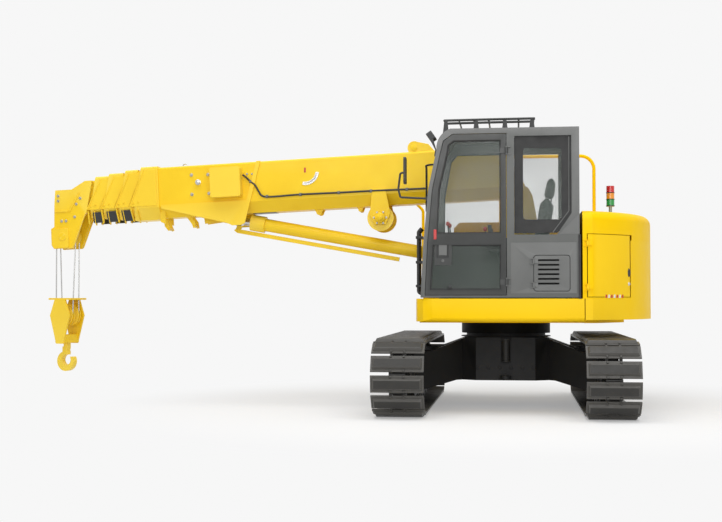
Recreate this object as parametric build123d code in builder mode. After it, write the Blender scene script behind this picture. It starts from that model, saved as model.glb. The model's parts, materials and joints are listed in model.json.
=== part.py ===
from build123d import *
import os
from math import cos, hypot, pi, radians, sin

os.makedirs("parts", exist_ok=True)

# ---- driving sizes, millimetres ----
# x runs from the boom's head (-) to the tail (+), y from the cab side (-) to the far side (+)
# from the slewing axis to the hook block's foremost edge
front_reach = 5025.0
tail_radius = 1500.0
slew_x = (front_reach - tail_radius) / 2

track_length = 3600.0
track_over_width = 2490.0
shoe_width = 500.0
track_end_radius = 377.0
chain_radius = 297.0
chain_half = 30.0
chain_width = 150.0
shoe_count = 50
shoe_long = 138.0
shoe_lap = 3.0
seat_gap = 0.3
running_gap = 0.05
move_gap = 6.0

deck_bottom = 907.0
deck_plate_low = 893.0
deck_plate_top = 925.0
deck_top = 1130.0
side_y = 1245.0
cab_floor_z = 1140.0
cab_inner_y = 275.0
cab_wall = 45.0
hood_top = 1975.0
split_x = 762.0

tow_eye_y = 625.0
tow_eye_z = 330.0
tow_eye_half = 55.0
tow_eye_radius = 25.0
tow_eye_thick = 40.0
cab_door_hinge_x = 20.0
cab_door_hinge_y = -1261.0
service_hinge_x = 790.0
service_hinge_y = -1258.0
vent_hinge_x = 279.0
vent_hinge_y = -1256.0

boom_angle = 2.7
pivot_x = 150.0
pivot_z = 2200.0
foot_pin_radius = 45.0
girder_inner = 212.0
girder_thick = 30.0

base_half = 200.0
base_top = 541.0
base_fold = 113.0
base_bottom = -6.0
base_bottom_half = 105.0
nest_step = 22.0
section_wall = 6.0

barrel_foot_x = -700.0
barrel_foot_z = 1594.0
rod_eye_x = -2885.0
rod_eye_z = 1986.0
barrel_radius = 69.0
barrel_bore = 58.0
rod_radius = 40.0

head_centre_s = 5005.0
head_centre_t = -150.0
hoist_gap = 55.0
fall_half = 110.0
rope_radius = 7.0
block_twist = 16.0

# ---- derived sizes ----
axle_z = track_end_radius
wheel_y = track_length / 2 - track_end_radius
track_x = (track_over_width - shoe_width) / 2
band_outer = chain_radius + chain_half
band_inner = chain_radius - chain_half
wheel_radius = band_inner - seat_gap
carrier_z = axle_z + band_inner - seat_gap - 50

boom_cos = cos(radians(boom_angle))
boom_sin = sin(radians(boom_angle))
groove_radius = fall_half - rope_radius - seat_gap
cylinder_run = rod_eye_x - barrel_foot_x
cylinder_rise = rod_eye_z - barrel_foot_z
cylinder_length = hypot(cylinder_run, cylinder_rise)
cylinder_cos = -cylinder_run / cylinder_length
cylinder_sin = cylinder_rise / cylinder_length


def side(y):
    # upright plane along the machine, drawn as x and z, with its normal towards the cab side
    return Plane(origin=(slew_x, y, 0), x_dir=(1, 0, 0), z_dir=(0, -1, 0))


def level(z):
    # flat plane through the slewing axis
    return Plane(origin=(slew_x, 0, z))


def across(x):
    # upright plane across the machine, drawn as y and z, with its normal towards the tail
    return Plane(origin=(slew_x + x, 0, 0), x_dir=(0, 1, 0), z_dir=(1, 0, 0))


def boom_side(y):
    # drawn along the boom from its foot pin and upwards, with its normal towards +y
    return Plane(
        origin=(slew_x + pivot_x, y, pivot_z),
        x_dir=(-boom_cos, 0, -boom_sin),
        z_dir=(0, 1, 0),
    )


def boom_cut(s):
    # square across the boom at distance s from the foot pin, drawn as -y and upwards
    return Plane(
        origin=(
            slew_x + pivot_x - s * boom_cos,
            0,
            pivot_z - s * boom_sin,
        ),
        x_dir=(0, -1, 0),
        z_dir=(-boom_cos, 0, -boom_sin),
    )


def cylinder_side(y):
    # drawn along the cylinder from its foot pin and upwards, with its normal towards +y
    return Plane(
        origin=(slew_x + barrel_foot_x, y, barrel_foot_z),
        x_dir=(-cylinder_cos, 0, cylinder_sin),
        z_dir=(0, 1, 0),
    )


def cylinder_cut(s):
    # square across the cylinder at distance s from its foot pin
    return Plane(
        origin=(
            slew_x + barrel_foot_x - s * cylinder_cos,
            0,
            barrel_foot_z + s * cylinder_sin,
        ),
        x_dir=(0, -1, 0),
        z_dir=(-cylinder_cos, 0, cylinder_sin),
    )


def boom_point(s, t):
    # a point of the boom's own side view, given about the slewing axis
    return (
        pivot_x - s * boom_cos - t * boom_sin,
        pivot_z - s * boom_sin + t * boom_cos,
    )


def finish(piece, label):
    piece.part.label = label
    export_step(piece.part, "parts/" + label + ".step")


# ---- undercarriage ----
with BuildPart() as carbody:
    with BuildSketch(side(0)):
        Polygon(
            (-889.7, 600), (-743, 602), (-400, 735), (400, 735), (743, 602), (889.7, 600),
            (889.7, 232), (776, 232), (500, 300), (-500, 300), (-776, 232), (-889.7, 232),
            align=None,
        )
    extrude(amount=1020, both=True)
    with BuildSketch(level(0)):
        Polygon(
            (-440, -470), (-300, -560), (300, -560), (440, -470), (889.7, -1000), (889.7, -560),
            (470, -170), (470, 170), (889.7, 560), (889.7, 1000), (440, 470), (300, 560),
            (-300, 560), (-440, 470), (-889.7, 1000), (-889.7, 560), (-470, 170), (-470, -170),
            (-889.7, -560), (-889.7, -1000),
            align=None,
        )
    extrude(amount=900, mode=Mode.INTERSECT)
    with BuildSketch(level(735)):
        Circle(470)
    extrude(amount=8)
    # towing eyes, flat plates with upright holes
    with BuildSketch(level(tow_eye_z)):
        with Locations((0, -tow_eye_y / 2), (0, tow_eye_y / 2)):
            Rectangle(2 * tow_eye_half, tow_eye_y)
        with Locations((0, -tow_eye_y), (0, tow_eye_y)):
            Circle(tow_eye_half)
        with Locations((0, -tow_eye_y), (0, tow_eye_y)):
            Circle(tow_eye_radius, mode=Mode.SUBTRACT)
    extrude(amount=tow_eye_thick / 2, both=True)

with BuildPart() as slew_ring:
    with BuildSketch(level(743 + seat_gap)):
        Circle(414 - seat_gap)
        Circle(330, mode=Mode.SUBTRACT)
    extrude(amount=deck_plate_low - 743 - 2 * seat_gap)

finish(carbody, "carbody")
finish(slew_ring, "slew_ring")

track_sides = (
    ("left", 1),
    ("right", -1),
)

for side_name, sign in track_sides:
    with BuildPart() as track:
        with BuildSketch(across(sign * track_x)):
            with Locations((0, axle_z)):
                SlotCenterToCenter(2 * wheel_y, 2 * band_outer)
                SlotCenterToCenter(2 * wheel_y, 2 * band_inner, mode=Mode.SUBTRACT)
        extrude(amount=chain_width / 2, both=True)
        straight = 2 * wheel_y
        loop_length = 2 * straight + 2 * pi * chain_radius
        for number in range(shoe_count):
            run = (number + 0.25 + 0.25 * sign) * loop_length / shoe_count
            if run < straight:
                foot = (-wheel_y + run, chain_radius)
                lean = 0.0
            elif run < straight + pi * chain_radius:
                lean = (run - straight) / chain_radius
                foot = (wheel_y + chain_radius * sin(lean), chain_radius * cos(lean))
            elif run < 2 * straight + pi * chain_radius:
                lean = pi
                foot = (wheel_y - (run - straight - pi * chain_radius), -chain_radius)
            else:
                lean = pi + (run - 2 * straight - pi * chain_radius) / chain_radius
                foot = (-wheel_y + chain_radius * sin(lean), chain_radius * cos(lean))
            shoe_plane = Plane(
                origin=(slew_x + sign * track_x, foot[0], axle_z + foot[1]),
                x_dir=(0, cos(lean), -sin(lean)),
                z_dir=(1, 0, 0),
            )
            shoe_low = chain_half - shoe_lap
            shoe_high = track_end_radius - chain_radius
            with BuildSketch(shoe_plane):
                Polygon(
                    (-shoe_long / 2, shoe_low), (shoe_long / 2, shoe_low),
                    (shoe_long / 2, shoe_high - 22), (shoe_long / 2 - 20, shoe_high),
                    (20 - shoe_long / 2, shoe_high), (-shoe_long / 2, shoe_high - 22),
                    align=None,
                )
        extrude(amount=shoe_width / 2, both=True)
        with BuildSketch(across(sign * track_x)):
            with Locations((0, axle_z)):
                Rectangle(track_length + 100, 2 * track_end_radius)
        extrude(amount=shoe_width / 2, both=True, mode=Mode.INTERSECT)
    finish(track, "track_" + side_name)

for side_name, sign in track_sides:
    frame_x = sign * track_x
    with BuildPart() as track_frame:
        with BuildSketch(across(frame_x)):
            Polygon(
                (-1130, 470), (-1000, 520), (960, 520), (1120, 470), (1120, 250),
                (960, 165), (-960, 165), (-1130, 250),
                align=None,
            )
        extrude(amount=105, both=True)
        with BuildSketch(across(frame_x)):
            with Locations((0, 185)):
                Rectangle(2060, 160)
        extrude(amount=82, both=True, mode=Mode.SUBTRACT)
        with BuildSketch(across(frame_x - 95), across(frame_x + 70)):
            Polygon(
                (-1440, 345), (-1440, 409), (-1120, 450), (-1120, 280),
                align=None,
            )
        extrude(amount=25)
        with BuildSketch(across(frame_x)):
            with Locations([(-875 + 350 * place, 180) for place in range(6)]):
                Circle(180 + band_inner - axle_z - seat_gap)
        extrude(amount=76, both=True)
        with BuildSketch(across(frame_x)):
            with Locations([(-875 + 350 * place, 180) for place in range(6)]):
                Circle(24)
        extrude(amount=104, both=True)
        with BuildSketch(across(frame_x)):
            with Locations((-420, carrier_z), (480, carrier_z)):
                Circle(50)
        extrude(amount=60, both=True)
        with BuildSketch(across(frame_x)):
            with Locations((-420, 550), (480, 550)):
                Rectangle(60, 80)
        extrude(amount=22, both=True)
    finish(track_frame, "track_frame_" + side_name)

    with BuildPart() as idler:
        with BuildSketch(across(frame_x)):
            with Locations((-wheel_y, axle_z)):
                Circle(wheel_radius)
        extrude(amount=48, both=True)
        with BuildSketch(across(frame_x)):
            with Locations((-wheel_y, axle_z)):
                Circle(58)
        extrude(amount=69.5, both=True)
    finish(idler, "idler_" + side_name)

    with BuildPart() as drive:
        with BuildSketch(across(frame_x)):
            with Locations((wheel_y, axle_z)):
                Circle(wheel_radius)
        extrude(amount=34, both=True)
        with BuildSketch(across(frame_x)):
            with Locations((wheel_y, axle_z)):
                Circle(185)
        extrude(amount=170 * sign)
        with BuildSketch(across(frame_x)):
            with Locations((wheel_y, axle_z)):
                Circle(150)
        extrude(amount=-135 * sign)
        with BuildSketch(across(frame_x - 100 * sign)):
            Polygon(
                (1120 + seat_gap, 470), (wheel_y, axle_z + 120), (wheel_y, axle_z - 120),
                (1120 + seat_gap, 250),
                align=None,
            )
        extrude(amount=-24 * sign)
    finish(drive, "sprocket_" + side_name)

# ---- revolving deck ----
girder_y = girder_inner + girder_thick / 2
deck_edge = 990 - seat_gap
with BuildPart() as revolving_frame:
    with BuildSketch(level(deck_plate_low)):
        Circle(465)
        Circle(414, mode=Mode.SUBTRACT)
    extrude(amount=-120)
    with BuildSketch(level(deck_plate_low)):
        Polygon(
            (-840, -deck_edge), (-860, -400), (-860, 400), (-840, deck_edge), (split_x, deck_edge),
            (split_x, 1100), (900, 1060), (1180, 600), (1180, -600), (900, -1060),
            (split_x, -1100), (split_x, -deck_edge),
            align=None,
        )
    extrude(amount=deck_plate_top - deck_plate_low)
    with BuildSketch(level(deck_plate_top)):
        with Locations((-600, 0), (560, 0)):
            Rectangle(30, 2 * deck_edge - 10)
    extrude(amount=deck_top - deck_plate_top)
    for plate_y in (-girder_y, girder_y):
        with BuildSketch(side(plate_y)):
            Polygon(
                (-860, 920), (-860, 1420), (-790, 1640), (-760, 1690), (-640, 1690),
                (-590, 1620), (-420, 1440), (-180, 1440), (20, 2200), (60, 2290),
                (150, 2330), (240, 2290), (285, 2200), (430, 1400), (700, deck_top),
                (1100, deck_top), (1100, 920),
                align=None,
            )
        extrude(amount=girder_thick / 2, both=True)
    with BuildSketch(side(0)):
        with Locations((pivot_x, pivot_z)):
            Circle(foot_pin_radius)
        with Locations((barrel_foot_x, barrel_foot_z)):
            Circle(40)
    extrude(amount=girder_inner + girder_thick + 14, both=True)
    with BuildSketch(level(deck_plate_top)):
        with Locations((330, 0)):
            Rectangle(30, 2 * girder_inner)
        with Locations((-330, 0)):
            Rectangle(30, 2 * girder_inner)
    extrude(amount=440)

finish(revolving_frame, "revolving_frame")

for side_name, sign in (("left", -1), ("right", 1)):
    with BuildPart() as side_beam:
        with BuildSketch(level(deck_bottom)):
            Polygon(
                (-700, sign * side_y), (split_x - 4, sign * side_y),
                (split_x - 4, sign * 990), (-845, sign * 990), (-868, sign * 1060),
                (-850, sign * 1160), (-790, sign * 1225),
                align=None,
            )
        extrude(amount=deck_top - deck_bottom)
        side_edges = side_beam.edges().filter_by(Axis.X).group_by(Axis.Z)[0]
        fillet(side_edges.sort_by(Axis.Y)[0 if sign < 0 else -1], 40)
    finish(side_beam, "side_beam_" + side_name)

# ---- tail ----
with BuildPart() as counterweight:
    with BuildSketch(level(deck_plate_top + seat_gap)):
        Circle(tail_radius)
    extrude(amount=1700 - deck_plate_top - seat_gap)
    with BuildSketch(level(deck_bottom)):
        Polygon(
            (split_x + 4, -side_y), (tail_radius + 40, -side_y), (tail_radius + 40, side_y),
            (split_x + 4, side_y),
            align=None,
        )
    extrude(amount=1700 - deck_bottom, mode=Mode.INTERSECT)
    with BuildSketch(level(deck_top)):
        Polygon(
            (split_x, -side_y - 10), (1225, -side_y - 10), (1225, side_y + 10), (split_x, side_y + 10),
            align=None,
        )
    extrude(amount=700, mode=Mode.SUBTRACT)
    with BuildSketch(level(deck_bottom)):
        Polygon(
            (split_x, -990), (880, -990), (1190, -610), (1190, 610), (880, 990), (split_x, 990),
            align=None,
        )
    extrude(amount=deck_top - deck_bottom + 1, mode=Mode.SUBTRACT)

finish(counterweight, "counterweight")

door_low = deck_top + 12
door_high = 1752.0
service_hinge_heights = (1240, 1660)
with BuildPart() as engine_hood:
    with BuildSketch(level(deck_top + seat_gap)):
        Circle(tail_radius)
    extrude(amount=hood_top - deck_top)
    with BuildSketch(level(deck_top)):
        Polygon(
            (split_x - 20, -side_y), (tail_radius + 40, -side_y), (tail_radius + 40, side_y),
            (split_x - 20, side_y),
            align=None,
        )
    extrude(amount=hood_top - deck_top, mode=Mode.INTERSECT)
    fillet(engine_hood.edges().group_by(Axis.Z)[-1].sort_by(Axis.X)[-3:], 90)
    with BuildSketch(level(deck_top - 5)):
        Polygon(
            (split_x + 10, -side_y + 30), (820, -side_y + 30), (1150, -900), (1150, 900),
            (820, side_y - 30), (split_x + 10, side_y - 30),
            align=None,
        )
    extrude(amount=hood_top - deck_top - 60, mode=Mode.SUBTRACT)
    with BuildSketch(level(deck_top - 5)):
        Polygon(
            (1225 - seat_gap, -side_y - 10), (1600, -side_y - 10), (1600, side_y + 10),
            (1225 - seat_gap, side_y + 10),
            align=None,
        )
    extrude(amount=1700 + seat_gap - deck_top + 5, mode=Mode.SUBTRACT)
    with BuildSketch(level(door_low)):
        Polygon(
            (782, -side_y - 10), (1300, -side_y - 10), (1215, -700), (1000, -980), (782, -1150),
            align=None,
        )
    extrude(amount=door_high - door_low, mode=Mode.SUBTRACT)
    for hinge_z in service_hinge_heights:
        with BuildSketch(level(hinge_z - 32)):
            with Locations((service_hinge_x, service_hinge_y)):
                Circle(6)
        extrude(amount=64)
        with BuildSketch(level(hinge_z - 32), level(hinge_z + 24)):
            with Locations((service_hinge_x, service_hinge_y)):
                Circle(8)
            with Locations((service_hinge_x - 18, service_hinge_y + 5)):
                Rectangle(36, 18)
        extrude(amount=8)

finish(engine_hood, "engine_hood")

with BuildPart() as service_door:
    with BuildSketch(level(door_low + 6)):
        Circle(tail_radius)
        Circle(tail_radius - 34, mode=Mode.SUBTRACT)
    extrude(amount=door_high - door_low - 12)
    with BuildSketch(level(door_low)):
        Polygon(
            (790, -side_y), (1290, -side_y), (1205, -820), (1000, -1000), (790, -1200),
            align=None,
        )
    extrude(amount=door_high - door_low, mode=Mode.INTERSECT)
    for hinge_z in service_hinge_heights:
        with BuildSketch(level(hinge_z - 20)):
            with Locations((service_hinge_x, service_hinge_y)):
                Circle(12)
            with Locations((service_hinge_x + 24, service_hinge_y + 8)):
                Rectangle(48, 12)
            with Locations((service_hinge_x, service_hinge_y)):
                Circle(6 + running_gap, mode=Mode.SUBTRACT)
        extrude(amount=40)

finish(service_door, "service_door")

with BuildPart() as engine_block:
    with BuildSketch(level(deck_top + seat_gap)):
        with Locations((940, 60)):
            Rectangle(300, 900)
    extrude(amount=640)

finish(engine_block, "engine_block")

# ---- right side tanks and rails ----
with BuildPart() as tank_housing:
    with BuildSketch(side(250)):
        Polygon(
            (-560, deck_top + seat_gap), (-560, 1900), (-500, 1960), (split_x - 26, 1960),
            (split_x - 26, deck_top + seat_gap),
            align=None,
        )
    extrude(amount=-(side_y - 5 - 250))
    with BuildSketch(side(560)):
        Polygon(
            (-850, deck_top + seat_gap), (-850, 1440), (-540, 1520), (-540, deck_top + seat_gap),
            align=None,
        )
    extrude(amount=-(side_y - 25 - 560))
    with BuildSketch(side(300)):
        Polygon(
            (-520, deck_top), (-520, 1880), (-480, 1920), (split_x - 66, 1920), (split_x - 66, deck_top),
            align=None,
        )
    extrude(amount=-(side_y - 55 - 300), mode=Mode.SUBTRACT)

finish(tank_housing, "tank_housing")

with BuildPart() as handrail:
    with BuildLine() as rail_path:
        FilletPolyline(
            (slew_x + 985, 860, hood_top + seat_gap),
            (slew_x + 985, 860, 2740),
            (slew_x - 60, 860, 2740),
            (slew_x - 60, 860, 1960 + seat_gap),
            radius=150,
        )
    with BuildSketch(Plane(origin=(slew_x + 985, 860, hood_top + seat_gap), z_dir=(0, 0, 1))):
        Circle(19)
    sweep()

finish(handrail, "handrail")

with BuildPart() as front_rail:
    with BuildLine() as front_rail_path:
        FilletPolyline(
            (slew_x - 960, 1100, 1150),
            (slew_x - 960, 1100, 2160),
            (slew_x - 1130, 1100, 2330),
            radius=70,
        )
    with BuildSketch(Plane(origin=(slew_x - 960, 1100, 1150), z_dir=(0, 0, 1))):
        Circle(17)
    sweep()
    with BuildSketch(level(1170), level(1385)):
        with Locations((-905, 1100)):
            Rectangle(2 * (905 - 850 - seat_gap), 30)
    extrude(amount=30)
    with BuildSketch(across(-1150)):
        with Locations((1100, 2420)):
            RectangleRounded(170, 250, 30)
    extrude(amount=30)

finish(front_rail, "front_rail")

with BuildPart() as signal_tower:
    with BuildSketch(level(hood_top + seat_gap)):
        with Locations((1060, -520)):
            Circle(17)
    extrude(amount=90)
    with BuildSketch(level(hood_top + 85)):
        with Locations((1060, -520)):
            Circle(40)
    extrude(amount=210)

finish(signal_tower, "signal_tower")

# ---- cab ----
cab_front_low = -812.0
cab_front_mid = -736.0
cab_front_high = -655.0
cab_rear = 715.0
cab_roof = 2782.0
door_rear = 22.0
cab_width = side_y - cab_inner_y
cab_mid_y = -(side_y + cab_inner_y) / 2
cab_hinge_heights = (1290, 2560)
vent_hinge_heights = (1260, 1488)

with BuildPart() as cab_frame:
    with BuildSketch(side(cab_mid_y)) as cab_outline:
        with BuildLine():
            Polyline(
                (-520, cab_roof), (cab_rear, cab_roof), (cab_rear, cab_floor_z),
                (cab_front_low, cab_floor_z), (cab_front_low + 30, 1690),
                (cab_front_mid, 2190), (cab_front_high, 2575),
            )
            ThreePointArc((cab_front_high, 2575), (-610, 2720), (-520, cab_roof))
        make_face()
    extrude(amount=cab_width / 2, both=True)
    with BuildSketch(side(cab_mid_y)):
        Polygon(
            (cab_front_low + cab_wall, cab_floor_z + cab_wall), (cab_rear - cab_wall, cab_floor_z + cab_wall),
            (cab_rear - cab_wall, cab_roof - cab_wall), (-520, cab_roof - cab_wall),
            (cab_front_high + cab_wall, 2575), (cab_front_mid + cab_wall, 2190),
            (cab_front_low + 30 + cab_wall, 1690),
            align=None,
        )
    extrude(amount=cab_width / 2 - cab_wall, both=True, mode=Mode.SUBTRACT)
    # door opening
    with BuildSketch(side(-side_y + cab_wall + 1)):
        Polygon(
            (cab_front_low + 40, cab_floor_z + 20), (door_rear, cab_floor_z + 20),
            (door_rear, 2730), (-500, 2730), (-590, 2665), (cab_front_high + 38, 2560),
            (cab_front_mid + 38, 2190), (cab_front_low + 68, 1690),
            align=None,
        )
    extrude(amount=cab_wall + 2, mode=Mode.SUBTRACT)
    # rear side window and lower panel openings
    with BuildSketch(side(-side_y + cab_wall + 1)):
        Polygon(
            (95, 1745), (500, 1745), (640, 1950), (640, 2700), (95, 2700),
            align=None,
        )
    extrude(amount=cab_wall + 2, mode=Mode.SUBTRACT)
    with BuildSketch(side(-side_y + cab_wall + 1)):
        Polygon(
            (60, cab_floor_z + 40), (cab_rear - 30, cab_floor_z + 40), (cab_rear - 30, 1670), (60, 1670),
            align=None,
        )
    extrude(amount=cab_wall + 2, mode=Mode.SUBTRACT)
    # windscreen
    with BuildSketch(across(cab_front_low - 60)):
        with Locations((cab_mid_y, 2120)):
            RectangleRounded(cab_width - 130, 1180, 60)
    extrude(amount=260, mode=Mode.SUBTRACT)
    # rear window
    with BuildSketch(across(cab_rear + 5)):
        with Locations((cab_mid_y, 2330)):
            RectangleRounded(cab_width - 200, 560, 60)
    extrude(amount=-cab_wall - 10, mode=Mode.SUBTRACT)
    # right window
    with BuildSketch(side(-cab_inner_y + 5)):
        Polygon(
            (-640, 1750), (560, 1750), (560, 2640), (-500, 2640), (-570, 2560), (-640, 2190),
            align=None,
        )
    extrude(amount=cab_wall + 10, mode=Mode.SUBTRACT)
    # roof window
    with BuildSketch(level(cab_roof + 5)):
        with Locations((-120, cab_mid_y)):
            RectangleRounded(640, 620, 60)
    extrude(amount=-cab_wall - 10, mode=Mode.SUBTRACT)
    # rubber mounts between the floor and the deck
    with BuildSketch(level(deck_top + seat_gap)):
        with Locations((-600, -1120), (560, -1120), (-600, -380), (560, -380)):
            Circle(40)
    extrude(amount=cab_floor_z - deck_top)
    for hinge_z in cab_hinge_heights:
        with BuildSketch(level(hinge_z - 40)):
            with Locations((cab_door_hinge_x, cab_door_hinge_y)):
                Circle(8)
        extrude(amount=80)
        with BuildSketch(level(hinge_z - 40), level(hinge_z + 30)):
            with Locations((cab_door_hinge_x, cab_door_hinge_y)):
                Circle(10)
            with Locations((cab_door_hinge_x + 20, cab_door_hinge_y + 7)):
                Rectangle(40, 20)
        extrude(amount=10)

finish(cab_frame, "cab_frame")

with BuildPart() as cab_door:
    with BuildSketch(side(-side_y + 38)):
        Polygon(
            (cab_front_low + 46, cab_floor_z + 26), (door_rear - 6, cab_floor_z + 26),
            (door_rear - 6, 2724), (-498, 2724), (-584, 2661), (cab_front_high + 44, 2557),
            (cab_front_mid + 44, 2190), (cab_front_low + 74, 1690),
            align=None,
        )
    extrude(amount=38)
    with BuildSketch(side(-side_y + 50)):
        Polygon(
            (cab_front_mid + 78, 1760), (door_rear - 56, 1760), (door_rear - 56, 2665),
            (-490, 2665), (-545, 2622), (cab_front_high + 98, 2545), (cab_front_mid + 98, 2190),
            align=None,
        )
        Polygon(
            (cab_front_low + 92, cab_floor_z + 76), (door_rear - 56, cab_floor_z + 76),
            (door_rear - 56, 1650), (cab_front_low + 120, 1650),
            align=None,
        )
    extrude(amount=80, mode=Mode.SUBTRACT)
    for hinge_z in cab_hinge_heights:
        with BuildSketch(level(hinge_z - 25)):
            with Locations((cab_door_hinge_x, cab_door_hinge_y)):
                Circle(15)
            with Locations((cab_door_hinge_x - 32, cab_door_hinge_y + 10)):
                Rectangle(64, 14)
            with Locations((cab_door_hinge_x, cab_door_hinge_y)):
                Circle(8 + running_gap, mode=Mode.SUBTRACT)
        extrude(amount=50)

finish(cab_door, "cab_door")

with BuildPart() as door_glass:
    with BuildSketch(side(-side_y + 22)):
        Polygon(
            (cab_front_mid + 79, 1761), (door_rear - 57, 1761), (door_rear - 57, 2664),
            (-490, 2664), (-544, 2621), (cab_front_high + 99, 2544), (cab_front_mid + 99, 2190),
            align=None,
        )
        Polygon(
            (cab_front_low + 93, cab_floor_z + 77), (door_rear - 57, cab_floor_z + 77),
            (door_rear - 57, 1649), (cab_front_low + 121, 1649),
            align=None,
        )
    extrude(amount=6)

finish(door_glass, "door_glass")

with BuildPart() as cab_rear_panel:
    with BuildSketch(side(-side_y + 30)):
        Polygon(
            (60.5, cab_floor_z + 40.5), (cab_rear - 30.5, cab_floor_z + 40.5), (cab_rear - 30.5, 1669.5),
            (60.5, 1669.5),
            align=None,
        )
        with Locations((450, 1374)):
            RectangleRounded(350, 350, 30, mode=Mode.SUBTRACT)
    extrude(amount=30)
    for hinge_z in vent_hinge_heights:
        with BuildSketch(level(hinge_z - 28)):
            with Locations((vent_hinge_x, vent_hinge_y)):
                Circle(5)
        extrude(amount=56)
        with BuildSketch(level(hinge_z - 28), level(hinge_z + 20)):
            with Locations((vent_hinge_x, vent_hinge_y)):
                Circle(6)
            with Locations((vent_hinge_x - 18, vent_hinge_y + 3.5)):
                Rectangle(36, 17)
        extrude(amount=8)

finish(cab_rear_panel, "cab_rear_panel")

with BuildPart() as vent_hatch:
    with BuildSketch(side(-side_y + 26)):
        with Locations((450, 1374)):
            RectangleRounded(338, 338, 25)
    extrude(amount=26)
    with BuildSketch(side(-side_y + 40)):
        with Locations([(420, 1274 + 45 * row) for row in range(6)]):
            Rectangle(200, 18)
    extrude(amount=60, mode=Mode.SUBTRACT)
    for hinge_z in vent_hinge_heights:
        with BuildSketch(level(hinge_z - 18)):
            with Locations((vent_hinge_x, vent_hinge_y)):
                Circle(10)
            with Locations((vent_hinge_x + 20, vent_hinge_y + 7)):
                Rectangle(40, 10)
            with Locations((vent_hinge_x, vent_hinge_y)):
                Circle(5 + running_gap, mode=Mode.SUBTRACT)
        extrude(amount=36)

finish(vent_hatch, "vent_hatch")

with BuildPart() as cab_side_window:
    with BuildSketch(side(-side_y + 24)):
        Polygon(
            (95.5, 1745.5), (499.5, 1745.5), (639.5, 1950.5), (639.5, 2699.5), (95.5, 2699.5),
            align=None,
        )
    extrude(amount=6)

finish(cab_side_window, "cab_side_window")

with BuildPart() as cab_rear_window:
    with BuildSketch(across(cab_rear - 20)):
        with Locations((cab_mid_y, 2330)):
            RectangleRounded(cab_width - 201, 559, 59)
    extrude(amount=6)

finish(cab_rear_window, "cab_rear_window")

with BuildPart() as cab_right_window:
    with BuildSketch(side(-cab_inner_y - 20)):
        Polygon(
            (-639.5, 1750.5), (559.5, 1750.5), (559.5, 2639.5), (-500, 2639.5), (-569.5, 2559.5),
            (-639.5, 2190),
            align=None,
        )
    extrude(amount=6)

finish(cab_right_window, "cab_right_window")

with BuildPart() as roof_window:
    with BuildSketch(level(cab_roof - 20)):
        with Locations((-120, cab_mid_y)):
            RectangleRounded(639, 619, 59)
    extrude(amount=6)

finish(roof_window, "roof_window")

with BuildPart() as windscreen:
    with BuildSketch(side(cab_mid_y)):
        with BuildLine():
            Polyline(
                (cab_front_low + 25, 1600), (cab_front_low + 45, 1690),
                (cab_front_mid + 15, 2190), (cab_front_high + 20, 2640),
                (cab_front_high + 28, 2640), (cab_front_mid + 22, 2190),
                (cab_front_low + 52, 1690), (cab_front_low + 32, 1600),
                close=True,
            )
        make_face()
    extrude(amount=(cab_width - 131) / 2, both=True)
    with BuildSketch(across(cab_front_low - 60)):
        with Locations((cab_mid_y, 2120)):
            RectangleRounded(cab_width - 131, 1179, 59)
    extrude(amount=260, mode=Mode.INTERSECT)

finish(windscreen, "windscreen")

with BuildPart() as roof_guard:
    with BuildSketch(level(cab_roof + seat_gap)):
        with Locations((-150, cab_mid_y)):
            RectangleRounded(900, 760, 60)
            RectangleRounded(780, 640, 40, mode=Mode.SUBTRACT)
    extrude(amount=70)
    with BuildSketch(level(cab_roof + 70)):
        with Locations([(-150, cab_mid_y - 240 + 160 * bar) for bar in range(4)]):
            Rectangle(880, 22)
        with Locations([(-540 + 260 * bar, cab_mid_y) for bar in range(4)]):
            Rectangle(22, 740)
        with Locations((-150, cab_mid_y)):
            RectangleRounded(900, 760, 60)
            RectangleRounded(840, 700, 40, mode=Mode.SUBTRACT)
            Rectangle(860, 22)
        with Locations([(-150, cab_mid_y - 240 + 160 * bar) for bar in range(4)]):
            Rectangle(880, 22)
        with Locations([(-540 + 260 * bar, cab_mid_y) for bar in range(4)]):
            Rectangle(22, 740)
    extrude(amount=45)

finish(roof_guard, "roof_guard")

with BuildPart() as work_lamp:
    lamp_plane = Plane(origin=(slew_x - 735, -1150, 2700), x_dir=(0, 1, 0), z_dir=(-0.82, 0, -0.57))
    with BuildSketch(lamp_plane):
        RectangleRounded(150, 95, 20)
    extrude(amount=-60)
    with BuildSketch(side(-1195)):
        Polygon(
            (-655.3, 2575), (-667.6, 2516.3), (-677.4, 2518.4), (-668, 2580), (-715, 2672),
            (-690, 2690),
            align=None,
        )
    extrude(amount=40)

finish(work_lamp, "work_lamp")

with BuildPart() as mirror_left:
    with BuildLine() as mirror_path:
        FilletPolyline(
            (slew_x - 750, -1215, 2105),
            (slew_x - 1010, -1215, 2120),
            (slew_x - 1030, -1215, 2200),
            (slew_x - 1010, -1215, 2360),
            (slew_x - 965, -1215, 2360),
            radius=22,
        )
    with BuildSketch(Plane(origin=(slew_x - 750, -1215, 2105), z_dir=(-260, 0, 15))):
        Circle(10)
    sweep()
    with BuildSketch(side(-1200)):
        Polygon((-746, 2085), (-742.3, 2125), (-754, 2126), (-758, 2086), align=None)
    extrude(amount=30)
    with BuildSketch(across(-975)):
        with Locations((-1215, 2380)):
            RectangleRounded(150, 260, 30)
    extrude(amount=22)

finish(mirror_left, "mirror_left")

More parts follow.
